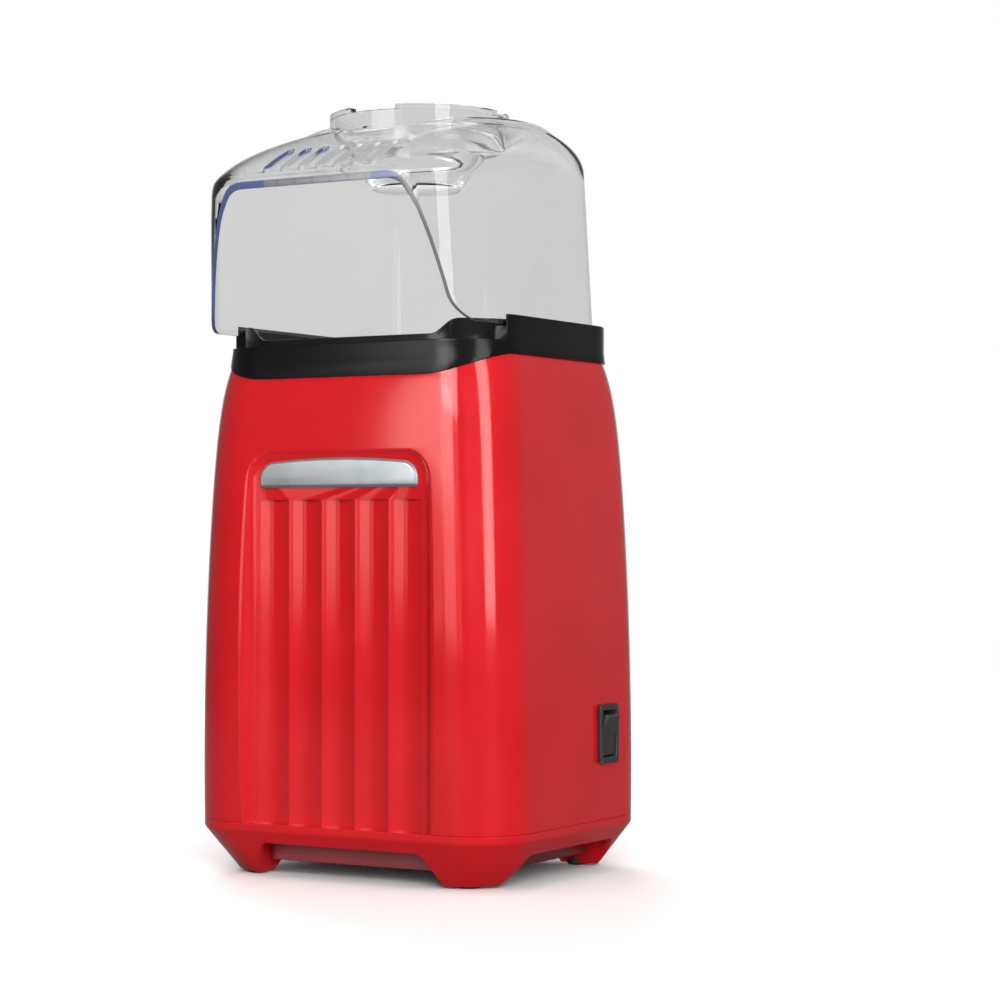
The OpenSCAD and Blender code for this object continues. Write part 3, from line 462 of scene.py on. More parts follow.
class Sheet:
    """A node tree that is filled in a few words a node."""

    def __init__(self, tree: bpy.types.NodeTree) -> None:
        """Keeps the material's, group's or world's tree."""
        self.tree = tree

    def add(self, kind: str, **values: object) -> Node:
        """Adds a node and sets or links its inputs.

        Args:
            kind: The node's type without its ShaderNode prefix.
            **values: Input names, with underscores for spaces, and a number, colour or output socket each.

        Returns:
            The new node.
        """
        node = self.tree.nodes.new("ShaderNode" + kind)
        for key, value in values.items():
            self.feed(node, key.replace("_", " "), value)
        return node

    def feed(self, node: Node, name: str, value: object) -> None:
        """Sets one input of a node, or links an output to it.

        Args:
            node: The node.
            name: The input's name, or n0, n1 and so on for its number.
            value: A number, a colour or an output socket.
        """
        slot = node.inputs[int(name[1:])] if name[:1] == "n" and name[1:].isdigit() else node.inputs[name]
        if isinstance(value, Socket):
            self.tree.links.new(value, slot)
        else:
            slot.default_value = value

    def math(self, how: str, first: object, second: object = 0.0, third: object = 0.0) -> Socket:
        """Adds a math node.

        Args:
            how: The operation, such as MULTIPLY.
            first: First value or socket.
            second: Second value or socket.
            third: Third value or socket.

        Returns:
            The result's socket.
        """
        node = self.tree.nodes.new("ShaderNodeMath")
        node.operation = how
        for index, value in enumerate((first, second, third)):
            self.feed(node, f"n{index}", value)
        return node.outputs[0]

    def ramp(self, factor: object, low: float, high: float, start: float = 0.0, end: float = 1.0) -> Socket:
        """Maps a value from one range to another with a smooth step.

        Args:
            factor: The value that is mapped.
            low: Where the result starts to change.
            high: Where it has changed.
            start: Result at and below low.
            end: Result at and above high.

        Returns:
            The result's socket.
        """
        node = self.tree.nodes.new("ShaderNodeMapRange")
        node.interpolation_type = "SMOOTHSTEP"
        for name, value in zip(("Value", "From Min", "From Max", "To Min", "To Max"),
                               (factor, low, high, start, end)):
            self.feed(node, name, value)
        return node.outputs["Result"]

    def mix(self, factor: object, first: object, second: object) -> Socket:
        """Mixes two colours.

        Args:
            factor: Share of the second colour.
            first: First colour or socket.
            second: Second colour or socket.

        Returns:
            The result's socket.
        """
        node = self.tree.nodes.new("ShaderNodeMix")
        node.data_type = "RGBA"
        for index, value in ((0, factor), (6, first), (7, second)):
            colour = isinstance(value, tuple) and len(value) == 3
            self.feed(node, f"n{index}", (*value, 1) if colour else value)
        return node.outputs[2]

    def vector(self, how: str, first: object, second: Point = (0.0, 0.0, 0.0)) -> Socket:
        """Adds a vector math node.

        Args:
            how: The operation, such as MULTIPLY.
            first: First vector or socket.
            second: Second vector or socket.

        Returns:
            The result's socket, a number for LENGTH and DOT_PRODUCT.
        """
        node = self.add("VectorMath", n0=first, n1=second)
        node.operation = how
        return node.outputs["Value" if how in ("LENGTH", "DOT_PRODUCT") else "Vector"]

    def noise(self, where: object, scale: object, detail: float = 3.0, rough: float = 0.5) -> Socket:
        """Adds a noise texture.

        Args:
            where: The coordinates it reads.
            scale: Its scale on coordinates in metres.
            detail: Number of octaves.
            rough: Strength of the finer octaves.

        Returns:
            The value's socket.
        """
        node = self.add("TexNoise", Vector=where, Scale=scale, Detail=detail, Roughness=rough)
        return node.outputs["Fac"]


def new_group(name: str, inputs: Sequence[tuple[str, float]],
              outputs: Sequence[str]) -> tuple[Sheet, dict[str, Socket], Node]:
    """Starts a shader node group with named sockets.

    Args:
        name: The group's name.
        inputs: Names and defaults of its float inputs, after its Vector input.
        outputs: Names of its float outputs.

    Returns:
        The group's sheet, its input sockets by name, and its output node.
    """
    group = bpy.data.node_groups.new(name, "ShaderNodeTree")
    group.interface.new_socket("Vector", in_out="INPUT", socket_type="NodeSocketVector")
    for label, value in inputs:
        socket = group.interface.new_socket(label, in_out="INPUT", socket_type="NodeSocketFloat")
        socket.default_value = value
    for label in outputs:
        group.interface.new_socket(label, in_out="OUTPUT", socket_type="NodeSocketFloat")
    sheet = Sheet(group)
    start = group.nodes.new("NodeGroupInput")
    end = group.nodes.new("NodeGroupOutput")
    return sheet, {socket.name: socket for socket in start.outputs}, end


class Effects:
    """Shader groups that several finishes share, each built once."""

    def __init__(self) -> None:
        """Builds the groups."""
        self.grain = self.build_grain()
        self.smudge = self.build_smudge()
        self.wear = self.build_wear()
        self.strokes = self.build_strokes()

    @staticmethod
    def build_grain() -> bpy.types.NodeTree:
        """Surface height of moulding grain over slow waviness, and a mottle mask.

        Returns:
            The group's tree.
        """
        settings = (("Scale", 900), ("Waviness", 1))
        sheet, inputs, end = new_group("moulding_grain", settings, ("Height", "Mottle"))
        fine = sheet.noise(inputs["Vector"], inputs["Scale"], 2)
        slow = sheet.noise(inputs["Vector"], 45, 1)
        sheet.feed(end, "Height", sheet.math("MULTIPLY_ADD", slow, inputs["Waviness"], fine))
        sheet.feed(end, "Mottle", sheet.ramp(sheet.noise(inputs["Vector"], 28, 4), 0.3, 0.7))
        return sheet.tree

    @staticmethod
    def build_smudge() -> bpy.types.NodeTree:
        """Mask of faint smears where hands have touched the surface, and of settled dust.

        Returns:
            The group's tree.
        """
        sheet, inputs, end = new_group("handling", (("Amount", 1),), ("Smears", "Dust"))
        bent = sheet.vector("MULTIPLY", inputs["Vector"], (1.0, 1.0, 0.45))
        smears = sheet.ramp(sheet.noise(bent, 34, 6, 0.62), 0.5, 0.74)
        sheet.feed(end, "Smears", sheet.math("MULTIPLY", smears, inputs["Amount"]))
        up = sheet.add("SeparateXYZ", Vector=sheet.add("NewGeometry").outputs["Normal"])
        specks = sheet.ramp(sheet.noise(inputs["Vector"], 1300, 2, 0.7), 0.62, 0.72)
        resting = sheet.ramp(up.outputs["Z"], 0.1, 0.9, 0.12, 1)
        dust = sheet.math("MULTIPLY", specks, resting)
        sheet.feed(end, "Dust", sheet.math("MULTIPLY", dust, inputs["Amount"]))
        return sheet.tree

    @staticmethod
    def build_wear() -> bpy.types.NodeTree:
        """Mask of polished or scuffed convex edges, broken up by noise.

        Returns:
            The group's tree.
        """
        sheet, inputs, end = new_group("edge_wear", (("Start", 0.53), ("Break", 260)), ("Mask",))
        edge = sheet.add("NewGeometry").outputs["Pointiness"]
        broken = sheet.noise(inputs["Vector"], inputs["Break"], 4)
        spread = sheet.math("MULTIPLY_ADD", broken, 0.05, inputs["Start"])
        sheet.feed(end, "Mask", sheet.ramp(sheet.math("SUBTRACT", edge, spread), 0.0, 0.05))
        return sheet.tree

    @staticmethod
    def build_strokes() -> bpy.types.NodeTree:
        """Fine parallel strokes, such as rolling or turning leaves on metal, as height and mask.

        Returns:
            The group's tree.
        """
        sheet, inputs, end = new_group("metal_strokes", (("Fineness", 900),), ("Height", "Streaks"))
        broad = sheet.math("MULTIPLY", inputs["Fineness"], 0.12)
        sheet.feed(end, "Height", sheet.noise(inputs["Vector"], inputs["Fineness"]))
        sheet.feed(end, "Streaks", sheet.ramp(sheet.noise(inputs["Vector"], broad, 2), 0.35, 0.65))
        return sheet.tree


class Turning(Enum):
    """How the strokes on metal run: along the smallest of the three scales, or round the axis if spun."""

    ROLLED = (1.0, 1.0, 0.04)
    ACROSS = (0.04, 1.0, 1.0)
    SPUN = (0.0, 0.0, 0.0)


@dataclass
class Canvas:
    """A material while it is painted, with what the finishes share."""

    sheet: Sheet
    shader: Node
    where: Socket
    effects: Effects
    axis: Axis

    def use(self, group: bpy.types.NodeTree, **values: object) -> Node:
        """Places a shared effect with its own values.

        Args:
            group: The effect's tree.
            **values: Its inputs. Vector is the Object coordinates unless it is given.

        Returns:
            The group's node.
        """
        node = self.sheet.tree.nodes.new("ShaderNodeGroup")
        node.node_tree = group
        for key, value in {"Vector": self.where, **values}.items():
            self.sheet.feed(node, key, value)
        return node

    def feed(self, **values: object) -> None:
        """Sets or links inputs of the shader, named with underscores for spaces."""
        for key, value in values.items():
            self.sheet.feed(self.shader, key.replace("_", " "), value)

    def bump(self, height: object, depth: float) -> None:
        """Feeds a height, in parts of a depth in millimetres, to the shader's normal."""
        node = self.sheet.add("Bump", Strength=1.0, Distance=depth * MM, Height=height)
        self.feed(Normal=node.outputs["Normal"])


@dataclass(frozen=True)
class Finish:
    """A named finish, whose kind says how it is painted."""

    name: str

    def build(self, effects: Effects, axis: Axis) -> bpy.types.Material:
        """Builds the material on Object coordinates.

        Args:
            effects: The shared effects.
            axis: Where the tower's axis stands.

        Returns:
            The finished material.
        """
        material = bpy.data.materials.new(self.name)
        material.use_nodes = True
        material.node_tree.nodes.clear()
        sheet = Sheet(material.node_tree)
        shader = sheet.add("BsdfPrincipled")
        sheet.add("OutputMaterial", Surface=shader.outputs["BSDF"])
        where = sheet.add("TexCoord").outputs["Object"]
        self.paint(Canvas(sheet, shader, where, effects, axis))
        return material

    def paint(self, canvas: Canvas) -> None:
        """Paints a material that has only its shader so far."""
        raise NotImplementedError


@dataclass(frozen=True)
class Moulded(Finish):
    """Moulded plastic or rubber, from high gloss to matt."""

    base: Colour
    second: Colour
    roughness: float
    grain_scale: float = 900
    grain_depth: float = 0.004
    waviness: float = 1.0
    smears: float = 0.08
    worn: Colour | None = None
    translucent: float = 0.0
    sheen: Colour = (1.0, 1.0, 1.0)
    bending: float = 1.5

    def paint(self, canvas: Canvas) -> None:
        """Paints a mottled surface with dust, smears and, if it has them, worn edges.

        Args:
            canvas: The material, which has only its shader so far.
        """
        sheet = canvas.sheet
        grain = canvas.use(canvas.effects.grain, Scale=self.grain_scale, Waviness=self.waviness)
        touch = canvas.use(canvas.effects.smudge)
        colour = sheet.mix(grain.outputs["Mottle"], self.base, self.second)
        dusty = tuple(0.82 * part + 0.09 for part in self.base)
        colour = sheet.mix(sheet.math("MULTIPLY", touch.outputs["Dust"], 0.3), colour, dusty)
        if self.worn:
            colour = sheet.mix(canvas.use(canvas.effects.wear).outputs["Mask"], colour, self.worn)
        rough = sheet.math("MULTIPLY_ADD", touch.outputs["Smears"], self.smears, self.roughness)
        canvas.feed(Base_Color=colour, Roughness=rough, IOR=self.bending, Specular_Tint=(*self.sheen, 1),
                    Subsurface_Weight=self.translucent, Subsurface_Radius=(0.004, 0.003, 0.002))
        canvas.bump(grain.outputs["Height"], self.grain_depth)


@dataclass(frozen=True)
class Metal(Finish):
    """Bare or plated metal with strokes, stains and polished edges."""

    base: Colour
    stained: Colour
    roughness: float
    turning: Turning = Turning.ROLLED
    fineness: float = 900
    depth: float = 0.003
    metallic: float = 1.0

    def paint(self, canvas: Canvas) -> None:
        """Paints stroked metal with stains, smears and polished edges.

        Args:
            canvas: The material, which has only its shader so far.
        """
        sheet, effects = canvas.sheet, canvas.effects
        strokes = canvas.use(effects.strokes, Vector=self.along(sheet, canvas.where), Fineness=self.fineness)
        wear = canvas.use(effects.wear)
        touch = canvas.use(effects.smudge)
        stain = sheet.ramp(sheet.noise(canvas.where, 70, 5, 0.6), 0.42, 0.66)
        colour = sheet.mix(stain, self.base, self.stained)
        bright = tuple(min(1.0, 1.25 * part + 0.04) for part in self.base)
        colour = sheet.mix(wear.outputs["Mask"], colour, bright)
        rough = sheet.math("MULTIPLY_ADD", strokes.outputs["Streaks"], 0.1, self.roughness)
        rough = sheet.math("MULTIPLY_ADD", touch.outputs["Smears"], 0.12, rough)
        canvas.feed(Base_Color=colour, Roughness=rough, Metallic=self.metallic)
        canvas.bump(strokes.outputs["Height"], self.depth)

    def along(self, sheet: Sheet, where: Socket) -> Socket:
        """Turns Object coordinates into coordinates that the strokes are stretched along.

        Args:
            sheet: The material's sheet.
            where: The Object coordinates.

        Returns:
            The turned coordinates' socket.
        """
        if self.turning is Turning.SPUN:
            split = sheet.add("SeparateXYZ", Vector=where)
            across = sheet.add("CombineXYZ", X=split.outputs["X"], Y=split.outputs["Y"])
            length = sheet.vector("LENGTH", across.outputs[0])
            return sheet.add("CombineXYZ", X=length, Z=split.outputs["Z"]).outputs[0]
        return sheet.vector("MULTIPLY", where, self.turning.value)


@dataclass(frozen=True)
class ClearPlastic(Finish):
    """Clear moulded plastic."""

    base: Colour
    roughness: float
    bending: float

    def paint(self, canvas: Canvas) -> None:
        """Paints clear plastic with slow waviness, smears and dust.

        Args:
            canvas: The material, which has only its shader so far.
        """
        sheet = canvas.sheet
        grain = canvas.use(canvas.effects.grain, Scale=1200, Waviness=2.0)
        touch = canvas.use(canvas.effects.smudge)
        colour = sheet.mix(grain.outputs["Mottle"], self.base, tuple(0.985 * part for part in self.base))
        rough = sheet.math("MULTIPLY_ADD", touch.outputs["Smears"], 0.05, self.roughness)
        rough = sheet.math("MULTIPLY_ADD", touch.outputs["Dust"], 0.2, rough)
        canvas.feed(Base_Color=colour, Roughness=rough, Transmission_Weight=1.0, IOR=self.bending)
        canvas.bump(grain.outputs["Height"], 0.0015)


@dataclass(frozen=True)
class CutEdge(Finish):
    """Cut edge of clear plastic, coloured with painted light: blue-violet where it gathers the light, and
    grey elsewhere.
    """

    blue: Colour
    grey: Colour
    roughness: float = 0.25

    def paint(self, canvas: Canvas) -> None:
        """Paints the edge's painted light by its places, which are measured from the tower's axis.

        Args:
            canvas: The material, which has only its shader so far.
        """
        sheet = canvas.sheet
        grain = canvas.use(canvas.effects.grain, Scale=1500)
        split = sheet.add("SeparateXYZ", Vector=canvas.where)
        x = sheet.math("MULTIPLY", sheet.math("SUBTRACT", split.outputs["X"], canvas.axis.x), 1 / MM)
        y = sheet.math("MULTIPLY", sheet.math("SUBTRACT", split.outputs["Y"], canvas.axis.y), 1 / MM)
        mottled = sheet.mix(grain.outputs["Mottle"], self.blue, tuple(1.35 * part for part in self.blue))
        colour = sheet.mix(self.greyness(sheet, x, y), mottled, self.grey)
        canvas.feed(Base_Color=colour, Roughness=self.roughness)
        canvas.bump(grain.outputs["Height"], 0.01)

    def greyness(self, sheet: Sheet, x: Socket, y: Socket) -> Socket:
        """Share of grey, against the painted blue-violet light, at a place given in millimetres from the
        axis.
        """
        raise NotImplementedError


@dataclass(frozen=True)
class MouthEdge(CutEdge):
    """Edge of the mouth, with painted light: grey dashes below the vents break the blue-violet, and grey runs
    down the far side.
    """

    pitch: float = 8.0
    left: float = -22.0
    right: float = 26.0
    far_side: float = 36.0

    def greyness(self, sheet: Sheet, x: Socket, y: Socket) -> Socket:
        """Share of grey against the painted blue-violet light along the mouth's edge.

        Args:
            sheet: The material's sheet.
            x: Place across the front, in millimetres from the axis.
            y: Place from front to rear; not used.

        Returns:
            The share, from 0 to 1.
        """
        inside = sheet.math("MULTIPLY", sheet.ramp(x, self.left - 0.5, self.left + 0.5),
                            sheet.ramp(x, self.right - 0.5, self.right + 0.5, 1, 0))
        wave = sheet.math("COSINE", sheet.math("MULTIPLY", x, 2 * math.pi / self.pitch))
        dashes = sheet.math("MULTIPLY", inside, sheet.ramp(wave, 0.75, 0.95, 1, 0.55))
        beyond = sheet.ramp(x, self.far_side - 1, self.far_side + 3)
        return sheet.math("MAXIMUM", dashes, beyond)


@dataclass(frozen=True)
class VentEdge(CutEdge):
    """Walls of the vents, with painted light: blue on the first one's outer side and at the rear ends of the
    next two.
    """

    first: float = -24.6
    rear: float = -58.0
    last: float = -5.0

    def greyness(self, sheet: Sheet, x: Socket, y: Socket) -> Socket:
        """Share of grey against the painted blue light on the vents' walls.

        Args:
            sheet: The material's sheet.
            x: Place across the front, in millimetres from the axis.
            y: Place from front to rear.

        Returns:
            The share, from 0 to 1.
        """
        inner = sheet.ramp(x, self.first - 0.2, self.first + 0.2)
        beyond = sheet.ramp(x, self.last - 1, self.last + 1)
        ahead = sheet.ramp(y, self.rear - 2, self.rear + 1, 1, 0)
        return sheet.math("MULTIPLY", inner, sheet.math("MAXIMUM", beyond, ahead))


# ---------------------------------------------------------------- studio


@dataclass(frozen=True)
class Softbox:
    """One soft light: its bearing in degrees from the front, sizes in metres and power in watts."""

    name: str
    bearing: float
    height: float
    distance: float
    width: float
    tall: float
    power: float
    aim: float = 0.16
    spreads: bool = True
    mirrored: bool = True

    def build(self) -> None:
        """Adds the light, turned towards the object."""
        angle = math.radians(self.bearing)
        at = Vector((math.sin(angle) * self.distance, -math.cos(angle) * self.distance, self.height))
        data = bpy.data.lights.new(self.name, "AREA")
        data.shape = "RECTANGLE"
        data.size = self.width
        data.size_y = self.tall
        data.energy = self.power
        light = bpy.data.objects.new(self.name, data)
        light.location = at
        light.rotation_euler = (Vector((0, 0, self.aim)) - at).to_track_quat("-Z", "Y").to_euler()
        light.visible_transmission = False
        light.visible_diffuse = self.spreads
        light.visible_glossy = self.mirrored
        bpy.context.scene.collection.objects.link(light)


@dataclass
class Studio:
    """Pale floor, soft lights, surroundings and the camera, whose eye is in millimetres from the axis."""

    bench: Bench
    floor_radius: float = 2.4
    fade_start: float = 0.45
    fade_end: float = 1.7
    focal_length: float = 96.24
    sensor: float = 36.0
    eye: Point = (566.66, -899.01, 132.96)
    view: Point = (-0.50750, 0.86157, 0.01205)
    backdrop: Colour = (1.0, 1.0, 1.0)
    seen_through: Colour = (0.66, 0.66, 0.655)
    lights: tuple[Softbox, ...] = (
        Softbox("fill_softbox", 38, 0.7, 2.0, 1.2, 1.2, 56, mirrored=False),
        Softbox("key_softbox", -11, 0.81, 1.7, 0.78, 1.6, 16.5, spreads=False),
        Softbox("key_left_feather", -27.5, 0.81, 1.72, 0.22, 1.6, 2.2, spreads=False),
        Softbox("key_right_feather", 6, 0.81, 1.72, 0.24, 1.6, 2, spreads=False),
        Softbox("key_high", -4, 0.97, 1.6, 0.9, 0.72, 20, spreads=False),
        Softbox("key_upper", -15, 0.55, 1.6, 0.9, 0.5, 7.2, spreads=False),
        Softbox("side_softbox", 61, 0.85, 1.7, 0.6, 1.5, 31, spreads=False),
        Softbox("top_softbox", 0, 1.9, 0.4, 1.6, 1.6, 15, mirrored=False),
        Softbox("rear_softbox", 222, 1.2, 1.9, 1.2, 1.2, 38, mirrored=False),
    )

    def build(self) -> None:
        """Sets up everything that isn't part of the object."""
        self.build_floor()
        self.build_world()
        for light in self.lights:
            light.build()
        self.build_camera()

    def build_floor(self) -> None:
        """Adds a pale round floor that fades out far from the object."""
        self.bench.clear()
        bpy.ops.mesh.primitive_circle_add(vertices=96, radius=self.floor_radius, fill_type="NGON")
        floor = self.bench.settle(bpy.context.object, "floor")
        with self.bench.edit(floor) as edit:
            edit.pick(Pick.FACES)
            bpy.ops.mesh.inset(thickness=0.6 * self.floor_radius)
        material = bpy.data.materials.new("pale_floor")
        material.use_nodes = True
        sheet = Sheet(material.node_tree)
        shader = material.node_tree.nodes["Principled BSDF"]
        where = sheet.add("TexCoord").outputs["Object"]
        tone = sheet.mix(sheet.noise(where, 3, 3), (0.91, 0.91, 0.91), (0.94, 0.94, 0.938))
        path = sheet.add("LightPath")
        seen = sheet.math("MAXIMUM", path.outputs["Is Camera Ray"], path.outputs["Is Transmission Ray"])
        sheet.feed(shader, "Base Color", sheet.mix(seen, (0.2, 0.2, 0.2), tone))
        sheet.feed(shader, "Roughness", 0.75)
        fade = sheet.ramp(sheet.vector("LENGTH", where), self.fade_start, self.fade_end, 1.0, 0.0)
        sheet.feed(shader, "Alpha", fade)
        floor.data.materials.append(material)

    def build_world(self) -> None:
        """Sets a white backdrop, grey seen through clear plastic, and dimmer surroundings for reflections."""
        world = bpy.data.worlds.new("surroundings")
        world.use_nodes = True
        world.node_tree.nodes.clear()
        sheet = Sheet(world.node_tree)
        path = sheet.add("LightPath")
        towards = sheet.add("TexCoord").outputs["Generated"]
        across = sheet.add("SeparateXYZ", Vector=towards)
        level = sheet.ramp(across.outputs["Z"], -0.2, 0.05, 0.3, 1.0)
        around = sheet.math("MULTIPLY", sheet.ramp(across.outputs["X"], -0.7, 0.8, 0.2, 0.42), level)
        ahead = sheet.vector("DOT_PRODUCT", towards, self.view)
        around = sheet.math("MAXIMUM", around, sheet.ramp(ahead, 0.82, 0.95, 0.0, self.seen_through[0]))
        colour = sheet.mix(path.outputs["Is Transmission Ray"], around, self.seen_through)
        colour = sheet.mix(path.outputs["Is Camera Ray"], colour, self.backdrop)
        background = sheet.add("Background", Color=colour)
        sheet.add("OutputWorld", Surface=background.outputs[0])
        bpy.context.scene.world = world

    def build_camera(self) -> None:
        """Adds the camera at the viewing angle and sets the picture's tone."""
        data = bpy.data.cameras.new("camera")
        data.lens = self.focal_length
        data.sensor_width = self.sensor
        data.sensor_fit = "HORIZONTAL"
        data.clip_start = 0.01
        camera = bpy.data.objects.new("camera", data)
        camera.location = self.bench.axis.place(self.eye)
        camera.rotation_euler = Vector(self.view).to_track_quat("-Z", "Y").to_euler()
        scene = bpy.context.scene
        scene.collection.objects.link(camera)
        scene.camera = camera
        scene.view_settings.view_transform = "Standard"
        scene.cycles.use_denoising = True
        scene.cycles.max_bounces = 24
        scene.cycles.transmission_bounces = 24


# ---------------------------------------------------------------- finishes of the carried-over nodes


class Palette:
    """All finishes of the object, built once and looked up by name."""

    plain: tuple[Finish, ...] = (
        Moulded("red_gloss", (0.50, 0.0075, 0.0125), (0.46, 0.006, 0.010), 0.10, grain_depth=0.002,
                waviness=3.0, worn=(0.7, 0.05, 0.05), sheen=(0.82, 0.40, 0.385), bending=1.6),
        # Satin red, darker than red_gloss: the darker colour is painted shade for the bottom plate, which
        # sits back under the skirt.
        Moulded("red_satin_painted_shade", (0.20, 0.012, 0.016), (0.15, 0.009, 0.012), 0.35, grain_depth=0.01),
        Moulded("black_gloss", (0.005, 0.005, 0.0053), (0.0035, 0.0035, 0.0037), 0.2, grain_depth=0.002,
                worn=(0.05, 0.05, 0.052), bending=1.2),
        Moulded("black_grained", (0.02, 0.02, 0.021), (0.013, 0.013, 0.014), 0.38, grain_depth=0.02,
                worn=(0.07, 0.07, 0.07)),
        Moulded("duct_black", (0.035, 0.035, 0.037), (0.02, 0.02, 0.022), 0.5, grain_depth=0.02),
        Moulded("rubber_pad", (0.018, 0.018, 0.018), (0.03, 0.029, 0.028), 0.75,
                grain_scale=1800, grain_depth=0.05),
        Moulded("silicone", (0.36, 0.10, 0.06), (0.30, 0.08, 0.05), 0.55, grain_depth=0.01, translucent=0.1),
        Moulded("nylon_fan", (0.70, 0.69, 0.64), (0.62, 0.61, 0.55), 0.45,
                grain_depth=0.01, translucent=0.15),
        Moulded("cap_plastic", (0.74, 0.73, 0.68), (0.66, 0.65, 0.60), 0.5, grain_depth=0.01),
        Moulded("ferrite", (0.045, 0.045, 0.05), (0.07, 0.068, 0.07), 0.6,
                grain_scale=2600, grain_depth=0.03),
        Moulded("steatite", (0.72, 0.69, 0.62), (0.62, 0.58, 0.5), 0.42, grain_depth=0.01),
        Moulded("mica_sheet", (0.48, 0.36, 0.20), (0.34, 0.25, 0.13), 0.36,
                grain_scale=420, grain_depth=0.02),
        Moulded("solder_mask", (0.025, 0.15, 0.05), (0.018, 0.11, 0.04), 0.3,
                grain_scale=1400, grain_depth=0.008),
    )
    metals: tuple[Metal, ...] = (
        Metal("plate_grey", (0.25, 0.265, 0.272), (0.215, 0.23, 0.237), 0.38, Turning.ACROSS, 1500, 0.002,
              metallic=0.75),
        Metal("spun_aluminium", (0.78, 0.79, 0.8), (0.70, 0.71, 0.72), 0.24, Turning.SPUN, 2200, 0.004),
        Metal("sheet_steel", (0.55, 0.55, 0.56), (0.42, 0.42, 0.43), 0.33, Turning.ROLLED, 900, 0.004),
        Metal("plated_steel", (0.60, 0.60, 0.59), (0.50, 0.49, 0.44), 0.28, Turning.SPUN, 1400, 0.003),
        Metal("ground_shaft", (0.66, 0.66, 0.67), (0.55, 0.55, 0.56), 0.14, Turning.SPUN, 3000, 0.001),
        Metal("sintered_bronze", (0.52, 0.33, 0.15), (0.40, 0.24, 0.10), 0.42, Turning.SPUN, 1800, 0.01),
        Metal("oxidised_wire", (0.22, 0.19, 0.17), (0.10, 0.085, 0.08), 0.45, Turning.ROLLED, 1600, 0.006),
        Metal("enamelled_copper", (0.62, 0.26, 0.11), (0.45, 0.19, 0.08), 0.3, Turning.ACROSS, 2600, 0.01),
    )

    clears: tuple[Finish, ...] = (
        ClearPlastic("clear_hood", (0.975, 0.978, 0.98), 0.012, 1.3),
        ClearPlastic("clear_cup", (0.965, 0.968, 0.97), 0.02, 1.35),
        # Cut-edge finishes with painted light: blue-violet where the edges gather the light, grey elsewhere.
        MouthEdge("mouth_edge_painted_light", (0.055, 0.07, 0.17), (0.15, 0.154, 0.158)),
        VentEdge("vent_edge_painted_light", (0.055, 0.07, 0.17), (0.36, 0.365, 0.37)),
    )

    def __init__(self, effects: Effects, axis: Axis) -> None:
        """Builds every finish.

        Args:
            effects: The shared effects.
            axis: Where the tower's axis stands.
        """
        finishes = (*self.plain, *self.metals, *self.clears)
        self.made = {finish.name: finish.build(effects, axis) for finish in finishes}

    def dress(self, piece: Object, name: str) -> None:
        """Gives a piece one finish, by its name, in all its slots."""
        piece.data.materials.clear()
        piece.data.materials.append(self.made[name])


@dataclass(frozen=True)
class InnerWorks:
    """The nodes that keep their form, and the finish of each."""

    bench: Bench
    palette: Palette
    nodes: dict[str, Object]
    plain: tuple[tuple[str, str], ...] = (
        ("housing", "red_gloss"), ("base_skirt", "red_gloss"), ("badge", "plate_grey"),
        ("hood", "clear_hood"), ("measuring_cup", "clear_cup"), ("impeller_clip", "plated_steel"),
        ("motor_magnets", "ferrite"), ("motor_bushes", "sintered_bronze"),
    )
    # Node, finish, material slot and width of the rounding in millimetres.
    softened: tuple[tuple[str, str, str, float], ...] = (
        # The bottom plate's darker red is painted shade.
        ("collar", "black_gloss", "black_plastic", 0.22), ("bottom_plate", "red_satin_painted_shade", "red_pan", 0.3),
        ("foot_pads", "rubber_pad", "rubber", 0.35), ("switch_body", "black_grained", "black_plastic", 0.3),
        ("switch_rocker", "black_grained", "black_plastic", 0.35),
        ("cord_gland", "rubber_pad", "rubber", 0.35),
        ("popping_chamber", "spun_aluminium", "aluminium", 0.1),
        ("chamber_gasket", "silicone", "silicone", 0.3), ("heater_duct", "sheet_steel", "sheet_steel", 0.08),
        ("heater_frame", "mica_sheet", "mica", 0.06), ("heater_coil", "oxidised_wire", "heater_wire", 0),
        ("fan_impeller", "nylon_fan", "fan_plastic", 0.1), ("fan_shroud", "duct_black", "duct_plastic", 0.2),
        ("motor_can", "plated_steel", "motor_steel", 0.2),
        ("motor_end_cap", "cap_plastic", "cap_plastic", 0.2),
        ("motor_shaft", "ground_shaft", "shaft_steel", 0.1), ("thermostat", "steatite", "cutout_case", 0.15),
        ("thermal_fuse", "steatite", "cutout_case", 0), ("rectifier_board", "solder_mask", "board", 0.08),
        ("motor_armature", "enamelled_copper", "windings", 0.15),
        ("base_screws", "plated_steel", "screw_steel", 0.12),
        ("collar_screws", "plated_steel", "screw_steel", 0.12),
        ("shroud_screws", "plated_steel", "screw_steel", 0.12),
    )

    def build(self) -> None:
        """Gives every listed node its finish, and shows a copy of each node in the softened list, rounded
        where it has a width.
        """
        for name, finish in self.plain:
            self.palette.dress(self.nodes[name], finish)
        for name, finish, slot, width in self.softened:
            self.palette.dress(self.nodes[name], finish)
            piece = self.soften(self.nodes[name], width)
            mount(piece, name, body_of(self.nodes[name])[0], self.palette, finish)

    def soften(self, node: Object, width: float) -> Object:
        """Copies a node, pairs its triangles up and rounds its sharp edges.

        Args:
            node: The node, which stays as it is.
            width: Width of the rounding in millimetres, or 0 for none.

        Returns:
            The copy, shaded smooth.
        """
        piece = bpy.data.objects.new(node.name + "_soft", node.data.copy())
        bpy.context.scene.collection.objects.link(piece)
        self.bench.smooth(piece)
        with self.bench.edit(piece) as edit:
            edit.pick(Pick.FACES)
            bpy.ops.mesh.tris_convert_to_quads(face_threshold=math.radians(0.3), shape_threshold=math.pi)
            if width:
                edit.round(lambda at, e: sharp(e, 50), width, 2, clamp=False)
        self.bench.smooth(piece)
        return piece


# ---------------------------------------------------------------- new skins


